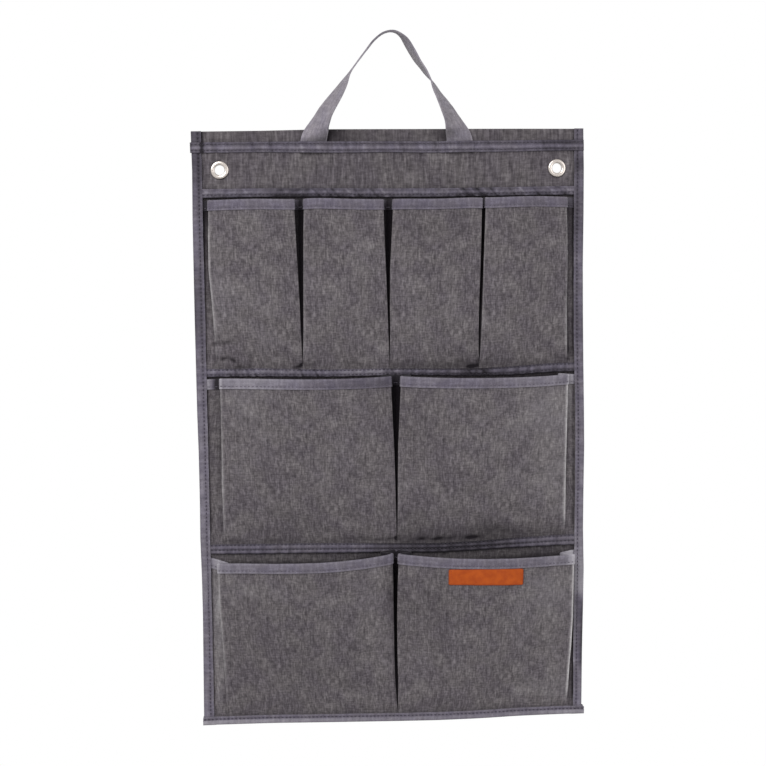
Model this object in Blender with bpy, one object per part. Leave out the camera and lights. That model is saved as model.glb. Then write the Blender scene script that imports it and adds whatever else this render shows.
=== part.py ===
"""Hanging organizer: a bound cloth panel with a stiffened header, two eyelets, a webbing
handle and three rows of pleated pockets.

Metres, +Z up. The wall is the plane y = 0 and the front faces -Y. The origin lies midway
between the eyelets. Every depth is a distance in front of the wall, so y = -depth.
Every drop is a distance below the panel's top edge.
"""

import math
from collections import namedtuple

import bmesh
import bpy
import numpy as np
from mathutils import Matrix, Vector

# Stock and clearance
CLOTH = 0.0008
TAPE = 0.0006
BOARD = 0.0006
GAP = 0.0003

# Panel and its bindings
PANEL_WIDTH = 0.400
PANEL_HEIGHT = 0.614
BINDING_WIDTH = 0.0092
BINDING_FOLDS = 2

# Header
EYELET_DROP = 0.0386
EYELET_INSET = 0.0272
HEM_HEIGHT = 0.0093
TOP_TAPE_HEIGHT = 0.0116
TOP_TAPE_OVERHANG = 0.001
HEADER_HEIGHT = 0.0663
LOWER_TAPE_HEIGHT = 0.0086
BOARD_HEIGHT = 0.0555
SEAM_ALLOWANCE = 0.001

# Eyelets
EYELET_BORE = 0.010
EYELET_WALL = 0.0004
EYELET_FLANGE = 0.0184
EYELET_CROWN = 0.0014
EYELET_LIP = 0.0148
WASHER_DIAMETER = 0.018
WASHER = 0.0004
WALL_CLEARANCE = 0.0001
TURN_STEPS = 24

# Handle
STRAP_WIDTH = 0.0265
STRAP = 0.0015
STRAP_SPACING = 0.1494
STRAP_OFFSET = -0.0026
HANDLE_RISE = 0.0997
HANDLE_PEAK_OFFSET = 0.0036
HANDLE_TIP_RADIUS = 0.004
HANDLE_ARCH = 1.43
BEND_RISE = 0.0033
TWIST_START = 0.001
TWIST_RISE = 0.0594
HANDLE_WALL_GAP = 0.0006
FOLD_ROOM = 0.0009
STRAP_STATIONS = 30
TAPE_RAMP = 0.0015

# Pocket rows
UPPER_SEAM_DROP = 0.2417
MIDDLE_SEAM_DROP = 0.425
SEAM_TAPE_HEIGHT = 0.0082
MOUTH_GAP = 0.0035
MOUTH_TAPE_HEIGHT = 0.0093
OUTER_FOLD_AT_MOUTH = 0.0068
OUTER_FOLD_AT_FOOT = 0.0112
MOUTH_DEPTH = 0.016
GUSSET_WIDTH = 0.030
GUSSET_START = 0.0024
FOLD_SPREAD = 0.0104
UPPER_POCKET_PITCH = 0.092
UPPER_CENTRE_SEAM = -0.0015
UPPER_CROWN = 0.004
TIGHT_FOLD_SPREAD = 0.003
TIGHT_FOLD_LEAN = 0.0065
CENTRE_SEAM = 0.0035
MIDDLE_CROWN = 0.006
MIDDLE_SAG = 0.001
LOWER_MOUTH_DEPTH = 0.020
LOWER_GUSSET_WIDTH = 0.034
LOWER_CROWN = 0.008
LOWER_SAG = 0.007
LOWER_FOLD_SPREAD = 0.0085
LOWER_FOLD_LEAN = -0.0024
FRONT_STEPS = (0, 0.2, 0.4, 0.6, 0.8)
GUSSET_STEPS = 5

# Tag
TAGGED_POCKET = "lower_pocket_2"
TAG_LENGTH = 0.080
TAG_HEIGHT = 0.0168
TAG = 0.0010
TAG_OFFSET = 0.0023
TAG_TAPE_GAP = 0.0012
TAG_STEPS = 7

Seam = namedtuple("Seam", "x lean spread")
Row = namedtuple("Row", "name hinge mouth depth crown sag gusset seams columns")
Edge = namedtuple("Edge", "side inward root foot mouth bound")
Look = namedtuple("Look", "colour roughness metallic")

HEATHER = Look("5f5c5b", 0.92, 0.0)
BINDING = Look("6d6773", 0.80, 0.0)
WEBBING = Look("7d7880", 0.75, 0.0)
NICKEL = Look("d6d2cb", 0.22, 1.0)
PLASTIC = Look("2b2b2c", 0.60, 0.0)
ORANGE = Look("c65712", 0.55, 0.0)

# Heights, worked out from the drops
TOP = EYELET_DROP
BOTTOM = TOP - PANEL_HEIGHT
TOP_TAPE_TOP = TOP - HEM_HEIGHT
TOP_TAPE_BOTTOM = TOP_TAPE_TOP - TOP_TAPE_HEIGHT
HEADER_BOTTOM = TOP - HEADER_HEIGHT
BINDING_TOP = BOTTOM + BINDING_WIDTH
HINGE_UPPER = TOP - UPPER_SEAM_DROP
HINGE_MIDDLE = TOP - MIDDLE_SEAM_DROP

# Depths of the layers, from the wall to the front
LEG = BINDING_FOLDS * TAPE
BACK_REAR = LEG + GAP
BACK_FACE = BACK_REAR + CLOTH
BOARD_REAR = BACK_FACE + GAP
HEADER_REAR = BOARD_REAR + BOARD + GAP
HEADER_FACE = HEADER_REAR + CLOTH
BINDING_FRONT = HEADER_FACE + GAP
BINDING_DEPTH = BINDING_FRONT + LEG
ROW_REAR = BACK_FACE + GAP
ROW_FACE = ROW_REAR + CLOTH
SEAM_REAR = ROW_FACE + GAP

# Half widths
HALF = PANEL_WIDTH / 2
EYELET_X = HALF - EYELET_INSET
CLEAR_HALF = HALF - BINDING_WIDTH
CLOTH_HALF = HALF - LEG - GAP

# Handle hinge and the strap's rest shape
STRAP_REAR = HEADER_FACE + GAP
HANDLE_AXIS_DEPTH = STRAP_REAR + STRAP / 2
HANDLE_AXIS_Z = TOP_TAPE_TOP + BEND_RISE
STRAP_CENTRES = (STRAP_OFFSET - STRAP_SPACING / 2, STRAP_OFFSET + STRAP_SPACING / 2)

FOLD_CLEARANCE = GAP + TAPE + GAP

ROWS = (
    Row(
        name="upper", hinge=HINGE_UPPER, mouth=HEADER_BOTTOM - MOUTH_GAP,
        depth=MOUTH_DEPTH, crown=UPPER_CROWN, sag=0, gusset=GUSSET_WIDTH, columns=6,
        seams=(
            Seam(UPPER_CENTRE_SEAM - UPPER_POCKET_PITCH, 0, FOLD_SPREAD),
            Seam(UPPER_CENTRE_SEAM, 0, FOLD_SPREAD),
            Seam(UPPER_CENTRE_SEAM + UPPER_POCKET_PITCH, TIGHT_FOLD_LEAN, TIGHT_FOLD_SPREAD),
        ),
    ),
    Row(
        name="middle", hinge=HINGE_MIDDLE, mouth=HINGE_UPPER - SEAM_TAPE_HEIGHT - MOUTH_GAP,
        depth=MOUTH_DEPTH, crown=MIDDLE_CROWN, sag=MIDDLE_SAG, gusset=GUSSET_WIDTH, columns=8,
        seams=(Seam(CENTRE_SEAM, 0, FOLD_SPREAD),),
    ),
    Row(
        name="lower", hinge=BINDING_TOP, mouth=HINGE_MIDDLE - SEAM_TAPE_HEIGHT - MOUTH_GAP,
        depth=LOWER_MOUTH_DEPTH, crown=LOWER_CROWN, sag=LOWER_SAG, gusset=LOWER_GUSSET_WIDTH,
        columns=8, seams=(Seam(CENTRE_SEAM, LOWER_FOLD_LEAN, LOWER_FOLD_SPREAD),),
    ),
)


def linear(channel):
    """An sRGB channel from 0 to 1 as linear light."""
    if channel <= 0.04045:
        return channel / 12.92
    return ((channel + 0.055) / 1.055) ** 2.4


def material(name, look):
    """A plain material of one colour, roughness and metallic value."""
    made = bpy.data.materials.new(name)
    made.use_nodes = True
    shader = made.node_tree.nodes["Principled BSDF"]
    channels = [int(look.colour[i:i + 2], 16) / 255 for i in (0, 2, 4)]
    shader.inputs["Base Color"].default_value = [linear(c) for c in channels] + [1.0]
    shader.inputs["Roughness"].default_value = look.roughness
    shader.inputs["Metallic"].default_value = look.metallic
    return made


def place(name, bm, look, smooth_angle=40.0):
    """Turn a bmesh into an object with its own material, faces pointing out."""
    bmesh.ops.recalc_face_normals(bm, faces=bm.faces)
    mesh = bpy.data.meshes.new(name)
    bm.to_mesh(mesh)
    bm.free()
    mesh.materials.append(material(name, look))
    mesh.shade_smooth()
    mesh.set_sharp_from_angle(angle=math.radians(smooth_angle))
    made = bpy.data.objects.new(name, mesh)
    bpy.context.collection.objects.link(made)
    return made


def skin(name, outer, inner, look):
    """A thin solid between two grids of points, outer[i][j] facing inner[i][j]."""
    bm = bmesh.new()
    near = [[bm.verts.new(point) for point in line] for line in outer]
    far = [[bm.verts.new(point) for point in line] for line in inner]
    last_row = len(near) - 1
    last_column = len(near[0]) - 1
    for i in range(last_row):
        for j in range(last_column):
            for grid in (near, far):
                bm.faces.new((grid[i][j], grid[i][j + 1], grid[i + 1][j + 1], grid[i + 1][j]))
        for j in (0, last_column):
            bm.faces.new((near[i][j], near[i + 1][j], far[i + 1][j], far[i][j]))
    for j in range(last_column):
        for i in (0, last_row):
            bm.faces.new((near[i][j], near[i][j + 1], far[i][j + 1], far[i][j]))
    return place(name, bm, look)


def run_along_z(name, outer, inner, low, high, look):
    """A section given as (x, depth) points on its outer and inner lines, run from low to high."""
    grids = [
        [[(x, -depth, z) for x, depth in line] for z in (low, high)] for line in (outer, inner)
    ]
    return skin(name, *grids, look)


def run_along_x(name, outer, inner, left, right, look):
    """A section given as (depth, z) points on its outer and inner lines, run from left to right."""
    grids = [
        [[(x, -depth, z) for depth, z in line] for x in (left, right)] for line in (outer, inner)
    ]
    return skin(name, *grids, look)


def flat_cloth(name, half_width, low, high, rear, thickness, look):
    """A flat rectangular piece, centred on x = 0, with its rear face at the given depth."""
    front = rear + thickness
    outer = ((-half_width, front), (half_width, front))
    inner = ((-half_width, rear), (half_width, rear))
    return run_along_z(name, outer, inner, low, high, look)


def turned(name, profile, centre, look):
    """A ring turned about a Y axis from a closed profile of (radius, depth) points."""
    bm = bmesh.new()
    corners = [bm.verts.new((radius, -depth, 0)) for radius, depth in profile]
    edges = [bm.edges.new((a, b)) for a, b in zip(corners, corners[1:] + corners[:1])]
    bmesh.ops.spin(
        bm, geom=corners + edges, cent=(0, 0, 0), axis=(0, 1, 0),
        angle=math.tau, steps=TURN_STEPS, use_merge=True,
    )
    made = place(name, bm, look)
    made.location = centre
    return made


def cut_eyelet_holes(piece, radius):
    """Cut the two eyelet holes through a header layer."""
    for side in (-1, 1):
        bm = bmesh.new()
        turn = Matrix.Rotation(math.radians(90), 4, "X")
        bmesh.ops.create_cone(
            bm, cap_ends=True, segments=TURN_STEPS, radius1=radius, radius2=radius,
            depth=4 * BINDING_DEPTH, matrix=turn,
        )
        cutter = place(f"{piece.name}_cutter_{side}", bm, PLASTIC)
        cutter.location = (side * EYELET_X, 0, 0)
        cutter.hide_render = True
        cutter.display_type = "WIRE"
        hole = piece.modifiers.new("eyelet hole", "BOOLEAN")
        hole.operation = "DIFFERENCE"
        hole.object = cutter


def set_pivot(piece, pivot):
    """Move a piece's origin onto its joint axis without moving its shape."""
    piece.data.transform(Matrix.Translation(-Vector(pivot)))
    piece.location = pivot


def hole_radius():
    """The radius of the holes that the eyelet barrel passes through."""
    return EYELET_BORE / 2 + EYELET_WALL + GAP


def build_panel():
    """The back panel and the header: its cloth, its stiffening board and the holes in them."""
    under_fold = TOP - CLOTH - GAP
    back = flat_cloth(
        "back_panel", CLOTH_HALF, BOTTOM + LEG + GAP, under_fold, BACK_REAR, CLOTH, HEATHER
    )
    board = flat_cloth(
        "header_stiffener", CLOTH_HALF, under_fold - BOARD_HEIGHT, under_fold, BOARD_REAR, BOARD,
        PLASTIC,
    )
    hem = HEADER_BOTTOM + SEAM_ALLOWANCE
    header = run_along_x(
        "header_panel",
        ((HEADER_FACE, hem), (HEADER_FACE, TOP), (BACK_REAR, TOP)),
        ((HEADER_REAR, hem), (HEADER_REAR, TOP - CLOTH), (BACK_REAR, TOP - CLOTH)),
        -CLOTH_HALF, CLOTH_HALF, HEATHER,
    )
    for piece in (back, board, header):
        cut_eyelet_holes(piece, hole_radius())


def build_bindings():
    """Folded tapes round the panel's edges: two sides and, across below them, the bottom."""
    for side, sign in (("left", -1), ("right", 1)):
        edge = sign * HALF
        within = sign * CLEAR_HALF
        web = sign * (HALF - LEG)
        run_along_z(
            f"binding_{side}",
            ((within, 0), (edge, 0), (edge, BINDING_DEPTH), (within, BINDING_DEPTH)),
            ((within, LEG), (web, LEG), (web, BINDING_FRONT), (within, BINDING_FRONT)),
            BINDING_TOP + GAP, TOP, BINDING,
        )
    run_along_x(
        "binding_bottom",
        ((0, BINDING_TOP), (0, BOTTOM), (BINDING_DEPTH, BOTTOM), (BINDING_DEPTH, BINDING_TOP)),
        (
            (LEG, BINDING_TOP), (LEG, BOTTOM + LEG),
            (BINDING_FRONT, BOTTOM + LEG), (BINDING_FRONT, BINDING_TOP),
        ),
        -HALF, HALF, BINDING,
    )


def top_tape_path():
    """The rear line of the top tape: flat on the header, raised over bindings and strap ends."""
    over_binding = BINDING_DEPTH + GAP
    over_strap = STRAP_REAR + STRAP + GAP
    half_strap = STRAP_WIDTH / 2 + GAP
    path = [(-HALF - TOP_TAPE_OVERHANG, over_binding), (-CLEAR_HALF + GAP, over_binding)]
    path.append((-CLEAR_HALF + GAP + TAPE_RAMP, STRAP_REAR))
    for centre in STRAP_CENTRES:
        path += [
            (centre - half_strap - TAPE_RAMP, STRAP_REAR), (centre - half_strap, over_strap),
            (centre + half_strap, over_strap), (centre + half_strap + TAPE_RAMP, STRAP_REAR),
        ]
    path.append((CLEAR_HALF - GAP - TAPE_RAMP, STRAP_REAR))
    path += [(CLEAR_HALF - GAP, over_binding), (HALF + TOP_TAPE_OVERHANG, over_binding)]
    return path


def build_header_tapes():
    """The tape that traps the handle's ends, and the one along the header's lower edge."""
    rear = top_tape_path()
    front = [(x, depth + TAPE) for x, depth in rear]
    run_along_z("header_top_tape", front, rear, TOP_TAPE_BOTTOM, TOP_TAPE_TOP, BINDING)
    flat_cloth(
        "header_lower_tape", CLEAR_HALF - GAP, HEADER_BOTTOM, HEADER_BOTTOM + LOWER_TAPE_HEIGHT,
        HEADER_FACE + GAP, TAPE, BINDING,
    )


def build_eyelets():
    """Two-part eyelets: a flanged barrel through the header and a washer behind it."""
    bore = EYELET_BORE / 2
    barrel = bore + EYELET_WALL
    flange = EYELET_FLANGE / 2
    lip = EYELET_LIP / 2
    seat = HEADER_FACE + GAP
    crown = seat + EYELET_CROWN
    lip_rear = WALL_CLEARANCE
    lip_front = lip_rear + EYELET_WALL
    profile = (
        (bore, lip_rear), (bore, seat + 0.5 * EYELET_CROWN),
        (bore + 0.2 * (flange - bore), seat + 0.9 * EYELET_CROWN),
        (bore + 0.45 * (flange - bore), crown),
        (bore + 0.8 * (flange - bore), seat + 0.75 * EYELET_CROWN),
        (flange, seat + 0.25 * EYELET_CROWN), (flange, seat),
        (barrel, seat), (barrel, lip_front), (lip, lip_front), (lip, lip_rear),
    )
    washer_front = BACK_REAR - GAP
    washer_rear = washer_front - WASHER
    washer = (
        (hole_radius(), washer_rear), (hole_radius(), washer_front),
        (WASHER_DIAMETER / 2, washer_front), (WASHER_DIAMETER / 2, washer_rear),
    )
    for side, sign in (("left", -1), ("right", 1)):
        centre = (sign * EYELET_X, 0, 0)
        turned(f"eyelet_{side}", profile, centre, NICKEL)
        turned(f"eyelet_washer_{side}", washer, centre, NICKEL)


def handle_line(count):
    """Points (x, z) along the handle's centre line, from the left hinge end to the right one.

    The height falls from the peak as the distance from it to the power HANDLE_ARCH.
    """
    peak = TOP + HANDLE_RISE
    line = []
    for share in np.linspace(-1, 1, count):
        end = STRAP_CENTRES[0] if share < 0 else STRAP_CENTRES[1]
        x = HANDLE_PEAK_OFFSET + abs(share) * (end - HANDLE_PEAK_OFFSET)
        reach = abs(end - HANDLE_PEAK_OFFSET)
        run = math.hypot(x - HANDLE_PEAK_OFFSET, HANDLE_TIP_RADIUS) / reach
        least = HANDLE_TIP_RADIUS / reach
        most = math.hypot(1, least)
        whole = most ** HANDLE_ARCH - least ** HANDLE_ARCH
        fall = (run ** HANDLE_ARCH - least ** HANDLE_ARCH) / whole
        line.append((x, peak - fall * (peak - HANDLE_AXIS_Z)))
    return np.array(line)


def handle_twist(z):
    """The strap's turn from facing forward, at the panel's edge, to edge on above it."""
    share = (z - TOP - TWIST_START) / TWIST_RISE
    return math.radians(90) * math.sqrt(min(max(share, 0.0), 1.0))


def build_handle():
    """The webbing loop, which folds about a line just above the top tape, and its sewn ends."""
    line = handle_line(STRAP_STATIONS * 2 + 1)
    ahead = np.gradient(line, axis=0)
    apex_depth = STRAP_WIDTH / 2 + HANDLE_WALL_GAP
    spans = []
    for (x, z), (run, rise) in zip(line, ahead):
        twist = handle_twist(z)
        share = twist / math.radians(90)
        depth = HANDLE_AXIS_DEPTH + (apex_depth - HANDLE_AXIS_DEPTH) * math.sin(twist)
        level = Vector((math.copysign(1, -x), 0, 0))
        along = Vector((run, 0, rise)).normalized()
        inward = Vector((along.z, 0, -along.x))
        inward = level.lerp(inward, share).normalized()
        across = inward * math.cos(twist) + Vector((0, -1, 0)) * math.sin(twist)
        face = along.cross(across).normalized()
        spans.append((Vector((x, -depth, z)), across * STRAP_WIDTH / 2, face * STRAP / 2))
    noses = []
    for end in (spans[0], spans[-1]):
        centre, across, face = end
        nose = []
        for share in (0.97, 0.7):
            drop = Vector((0, 0, -share * STRAP / 2))
            nose.append((centre + drop, across, face * math.sqrt(1 - share ** 2)))
        noses.append(nose)
    spans = noses[0] + spans + noses[1][::-1]
    outer = [[centre - across + face, centre + across + face] for centre, across, face in spans]
    inner = [[centre - across - face, centre + across - face] for centre, across, face in spans]
    strap = skin("handle_strap", outer, inner, WEBBING)
    set_pivot(strap, (0, -HANDLE_AXIS_DEPTH, HANDLE_AXIS_Z))

    tail_top = HANDLE_AXIS_Z - STRAP / 2 - FOLD_ROOM
    tail_bottom = TOP_TAPE_BOTTOM + SEAM_ALLOWANCE
    front = STRAP_REAR + STRAP
    for side, centre in zip(("left", "right"), STRAP_CENTRES):
        left = centre - STRAP_WIDTH / 2
        right = centre + STRAP_WIDTH / 2
        run_along_z(
            f"handle_end_{side}", ((left, front), (right, front)),
            ((left, STRAP_REAR), (right, STRAP_REAR)), tail_bottom, tail_top, WEBBING,
        )


def row_edges(row):
    """The pleat lines of a row from left to right: each pocket takes two neighbours of them."""
    outer = dict(root=CLEAR_HALF, foot=CLEAR_HALF - OUTER_FOLD_AT_FOOT,
                 mouth=CLEAR_HALF - OUTER_FOLD_AT_MOUTH)
    edges = [Edge("left", 1, -outer["root"], -outer["foot"], -outer["mouth"], True)]
    for seam in row.seams:
        for side, inward in (("right", -1), ("left", 1)):
            root = seam.x + inward * GAP / 2
            foot = seam.x + inward * 2 * GAP
            mouth = seam.x + seam.lean + inward * seam.spread / 2
            edges.append(Edge(side, inward, root, foot, mouth, False))
    edges.append(Edge("right", -1, outer["root"], outer["foot"], outer["mouth"], True))
    return list(zip(edges[0::2], edges[1::2]))


def fold_x(edge, v):
    """Where a pocket front's side fold lies, at a share v of the way up from its hinge."""
    return edge.foot + (edge.mouth - edge.foot) * v


def front_point(row, edges, u, v, lift):
    """A point on a pocket front: u across, v up from the hinge, lift in front of its rear face."""
    left, right = edges
    x = fold_x(left, v) + (fold_x(right, v) - fold_x(left, v)) * u
    bulge = math.sin(math.pi * u)
    depth = ROW_REAR + row.depth * v + row.crown * bulge * (1 - (1 - v) ** 2) + lift
    foot = row.hinge + GAP
    z = foot + (row.mouth - row.sag * bulge - foot) * v
    return Vector((x, -depth, z))


def tape_share(row):
    """The share of a front's height at which its mouth tape's lower edge lies."""
    return 1 - MOUTH_TAPE_HEIGHT / (row.mouth - row.hinge)


def build_front(name, row, edges):
    """The bulged front of a pocket, thin and leaning out from its foot."""
    heights = [*FRONT_STEPS, tape_share(row), 1]
    across = np.linspace(0, 1, row.columns + 1)
    outer = [[front_point(row, edges, u, v, CLOTH) for v in heights] for u in across]
    inner = [[front_point(row, edges, u, v, 0) for v in heights] for u in across]
    return skin(f"{name}_front", outer, inner, HEATHER)


def build_mouth_tape(name, row, edges):
    """The tape folded over a front's upper edge, following its curve."""
    low = tape_share(row)
    outer = []
    inner = []
    for u in np.linspace(0, 1, row.columns + 1):
        for line, clear in ((outer, GAP + TAPE), (inner, GAP)):
            over = Vector((0, 0, clear))
            line.append([
                front_point(row, edges, u, low, CLOTH + clear),
                front_point(row, edges, u, 1, CLOTH + clear) + over,
                front_point(row, edges, u, 1, -clear) + over,
                front_point(row, edges, u, low, -clear),
            ])
    return skin(f"{name}_mouth_tape", outer, inner, BINDING)


def gusset_section(row, edge, v):
    """The outer and inner lines of a gusset, as (x, depth), from the panel to the side fold.

    The pleat folds inward halfway, so that its two halves span the mouth's depth.
    """
    depth = row.depth * v
    tuck = math.sqrt((row.gusset * v) ** 2 - depth ** 2) / 2
    tip = ROW_REAR + depth - FOLD_CLEARANCE
    fold = fold_x(edge, v)
    if edge.bound:
        rim = -edge.inward * (CLOTH_HALF - GAP)
        corner = edge.root + edge.inward * 2 * GAP
        outer = [(rim, ROW_FACE), (corner, ROW_FACE)]
        inner = [(rim, ROW_REAR), (corner + edge.inward * CLOTH, ROW_REAR)]
    else:
        corner = edge.root
        outer = [(corner, ROW_REAR)]
        inner = [(corner + edge.inward * CLOTH, ROW_REAR)]
    middle = ((corner + fold) / 2 + edge.inward * tuck, (outer[-1][1] + tip) / 2)
    for x, at in (middle, (fold, tip)):
        outer.append((x, at))
        inner.append((x + edge.inward * CLOTH, at))
    return outer, inner


def build_gusset(name, row, edge):
    """The pleated side of a pocket, from where it leaves the panel up to the mouth."""
    outer = []
    inner = []
    foot = row.hinge + GAP
    for v in np.linspace(GUSSET_START / row.depth, 1, GUSSET_STEPS):
        z = foot + (row.mouth - foot) * v
        for grid, line in zip((outer, inner), gusset_section(row, edge, v)):
            grid.append([(x, -depth, z) for x, depth in line])
    return skin(f"{name}_gusset_{edge.side}", outer, inner, HEATHER)


def build_tag(name, row, edges):
    """The plain tag below a mouth tape, lying on the front's curve."""
    width = edges[1].mouth - edges[0].mouth
    height = row.mouth - row.hinge
    middle = 0.5 + TAG_OFFSET / width
    reach = TAG_LENGTH / width / 2
    top = tape_share(row) - TAG_TAPE_GAP / height
    outer = []
    inner = []
    for u in np.linspace(middle - reach, middle + reach, TAG_STEPS):
        for grid, lift in ((outer, GAP + TAG), (inner, GAP)):
            grid.append([
                front_point(row, edges, u, v, CLOTH + lift)
                for v in (top - TAG_HEIGHT / height, top)
            ])
    return skin(f"{name}_tag", outer, inner, ORANGE)


def build_rows():
    """Every pocket, the strip's sewn foot under each row and the tape over that foot."""
    for row in ROWS:
        foot_bottom = row.hinge - SEAM_TAPE_HEIGHT + SEAM_ALLOWANCE
        flat_cloth(f"{row.name}_row_foot", CLOTH_HALF, foot_bottom, row.hinge, ROW_REAR, CLOTH, HEATHER)
        if row.hinge > BINDING_TOP:
            flat_cloth(
                f"{row.name}_seam_tape", CLOTH_HALF, row.hinge - SEAM_TAPE_HEIGHT, row.hinge,
                SEAM_REAR, TAPE, BINDING,
            )
        for number, edges in enumerate(row_edges(row), 1):
            name = f"{row.name}_pocket_{number}"
            moving = [build_front(name, row, edges), build_mouth_tape(name, row, edges)]
            if name == TAGGED_POCKET:
                moving.append(build_tag(name, row, edges))
            for piece in moving:
                set_pivot(piece, (0, -(ROW_REAR + CLOTH / 2), row.hinge))
            for edge in edges:
                build_gusset(name, row, edge)


for left_over in list(bpy.data.objects):
    bpy.data.objects.remove(left_over, do_unlink=True)
build_panel()
build_bindings()
build_header_tapes()
build_eyelets()
build_handle()
build_rows()
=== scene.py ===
"""Hanging organizer, dressed: a heather cloth panel with pleated pockets, tapes and a handle.

Metres, +Z up, front faces -Y. The wall is y = 0, and a depth is a distance in front of it.
"""

import math

import bpy
import numpy as np
from mathutils import Matrix


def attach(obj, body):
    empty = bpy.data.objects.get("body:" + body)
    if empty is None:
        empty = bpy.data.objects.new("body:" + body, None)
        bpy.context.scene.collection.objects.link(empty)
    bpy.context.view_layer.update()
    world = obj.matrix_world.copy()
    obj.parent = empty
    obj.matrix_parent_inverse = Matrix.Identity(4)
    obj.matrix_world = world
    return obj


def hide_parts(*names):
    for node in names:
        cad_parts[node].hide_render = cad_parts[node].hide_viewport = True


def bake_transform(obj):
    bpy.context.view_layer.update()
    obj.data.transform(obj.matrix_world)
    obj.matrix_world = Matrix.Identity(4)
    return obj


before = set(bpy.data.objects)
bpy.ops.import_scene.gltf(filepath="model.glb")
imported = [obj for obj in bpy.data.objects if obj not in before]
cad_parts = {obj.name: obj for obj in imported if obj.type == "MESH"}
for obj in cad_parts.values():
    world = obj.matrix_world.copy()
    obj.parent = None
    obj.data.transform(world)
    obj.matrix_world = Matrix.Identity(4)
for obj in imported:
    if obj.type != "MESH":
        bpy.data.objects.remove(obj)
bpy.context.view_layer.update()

# Back panel
# The sheet that everything is sewn to: plain woven polyester of two greys of yarn spun together,
# which gives short upright flecks. It is cut square and hangs from the header.

PANEL_HALF = 0.1985
PANEL_TOP = 0.0375
PANEL_BOTTOM = -0.5739
PANEL_DEPTH = 0.0019
CLOTH = 0.0008
EYELET_X = 0.1728
HOLE_RADIUS = 0.0064
# The grid is finer outside this distance across and within this one up, round the eyelets.
FINE_X = 0.162
FINE_Z = 0.012


def light(code):
    """A written sRGB colour as linear light.

    A channel c becomes c / 12.92 up to 0.04045, and ((c + 0.055) / 1.055) ^ 2.4 above that.
    """
    channel = np.array([int(code[i:i + 2], 16) for i in (0, 2, 4)]) / 255
    linear = np.where(channel > 0.04045, ((channel + 0.055) / 1.055) ** 2.4, channel / 12.92)
    return [*linear.tolist(), 1.0]


def plug(tree, node, inputs):
    """Fill a node's sockets, each with a value, or a link from a socket or a node's first one."""
    for key, value in inputs.items():
        if isinstance(value, bpy.types.Node):
            value = value.outputs[0]
        if isinstance(value, bpy.types.NodeSocket):
            tree.links.new(value, node.inputs[key])
        else:
            node.inputs[key].default_value = value
    return node


def add(tree, kind, inputs=None, stops=(), **settings):
    """Add one node: inputs fill its sockets, and settings are its properties. Where it is a
    colour ramp, stops are its places and written colours.
    """
    node = tree.nodes.new(kind)
    for key, value in settings.items():
        setattr(node, key, value)
    for k, (place, code) in enumerate(stops):
        elements = node.color_ramp.elements
        stop = elements[k] if k < len(elements) else elements.new(place)
        stop.position, stop.color = place, light(code)
    return plug(tree, node, inputs or {})


def material(name):
    """A new material, its node tree and its shader."""
    made = bpy.data.materials.new(name)
    made.use_nodes = True
    return made, made.node_tree, made.node_tree.nodes["Principled BSDF"]


def woven(name, stops, flecks, patch, rib, roughness, sheen, highlight_colour, deep, warm, cool):
    """A woven finish on the cloth's own coordinates, in metres.

    flecks are (across, along, weight) per yarn system, as flecks per metre. rib is the thread
    pitch across and along. The piece's shading value paints light and shade: from -1, where the
    colour is the deep one, a painted shade, through 0 to 1, where it is the highlight colour, a
    painted highlight. Small values vary its tone too.
    """
    made, tree, shader = material(name)
    cloth = add(tree, "ShaderNodeUVMap", uv_map="cloth")
    total = 0.0
    for across, along, weight in flecks:
        stretched = add(tree, "ShaderNodeMapping", {"Vector": cloth, "Scale": (across, along, 1)})
        fleck = add(tree, "ShaderNodeTexNoise", {
            "Vector": stretched, "Scale": 1.0, "Detail": 2.0, "Roughness": 0.6,
        })
        total = add(tree, "ShaderNodeMath", {0: fleck, 1: weight, 2: total},
                    operation="MULTIPLY_ADD")
    yarn = add(tree, "ShaderNodeValToRGB", {"Fac": total}, stops)
    drift = add(tree, "ShaderNodeTexNoise", {"Vector": cloth, "Scale": patch, "Detail": 2.0})
    tint = add(tree, "ShaderNodeValToRGB", {"Fac": drift}, ((0.4, warm), (0.6, cool)))
    colour = add(tree, "ShaderNodeMix", {0: 1.0, 6: yarn, 7: tint},
                 data_type="RGBA", blend_type="MULTIPLY").outputs[2]
    # Painted light and shade: above 0 the colour goes towards the painted highlight colour, below 0
    # towards the deep colour of painted shade.
    shading_and_tone = add(tree, "ShaderNodeAttribute", attribute_name="shading_and_tone").outputs["Fac"]
    for factor, code in ((total, highlight_colour), (-1.0, deep)):
        amount = add(tree, "ShaderNodeMath", {0: shading_and_tone, 1: factor}, operation="MULTIPLY",
                     use_clamp=True)
        colour = add(tree, "ShaderNodeMix", {0: amount, 6: colour, 7: light(code)},
                     data_type="RGBA").outputs[2]
    ribs = [
        add(tree, "ShaderNodeTexWave", {
            "Vector": cloth, "Scale": math.tau / (20 * pitch), "Distortion": 0.6,
            "Detail Scale": 2.0,
        }, bands_direction=axis).outputs["Fac"]
        for axis, pitch in zip("XY", rib)
    ]
    weave = add(tree, "ShaderNodeMath", {0: ribs[0], 1: ribs[1]}, operation="MULTIPLY")
    relief = add(tree, "ShaderNodeMath", {0: total, 1: 1.5, 2: weave}, operation="MULTIPLY_ADD")
    bump = add(tree, "ShaderNodeBump", {"Height": relief, "Strength": 0.45, "Distance": 0.0004})
    plug(tree, shader, {
        "Base Color": colour, "Normal": bump, "Roughness": roughness, "Sheen Weight": sheen,
        "Sheen Roughness": 0.5, "Specular IOR Level": 0.25,
    })
    return made


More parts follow.
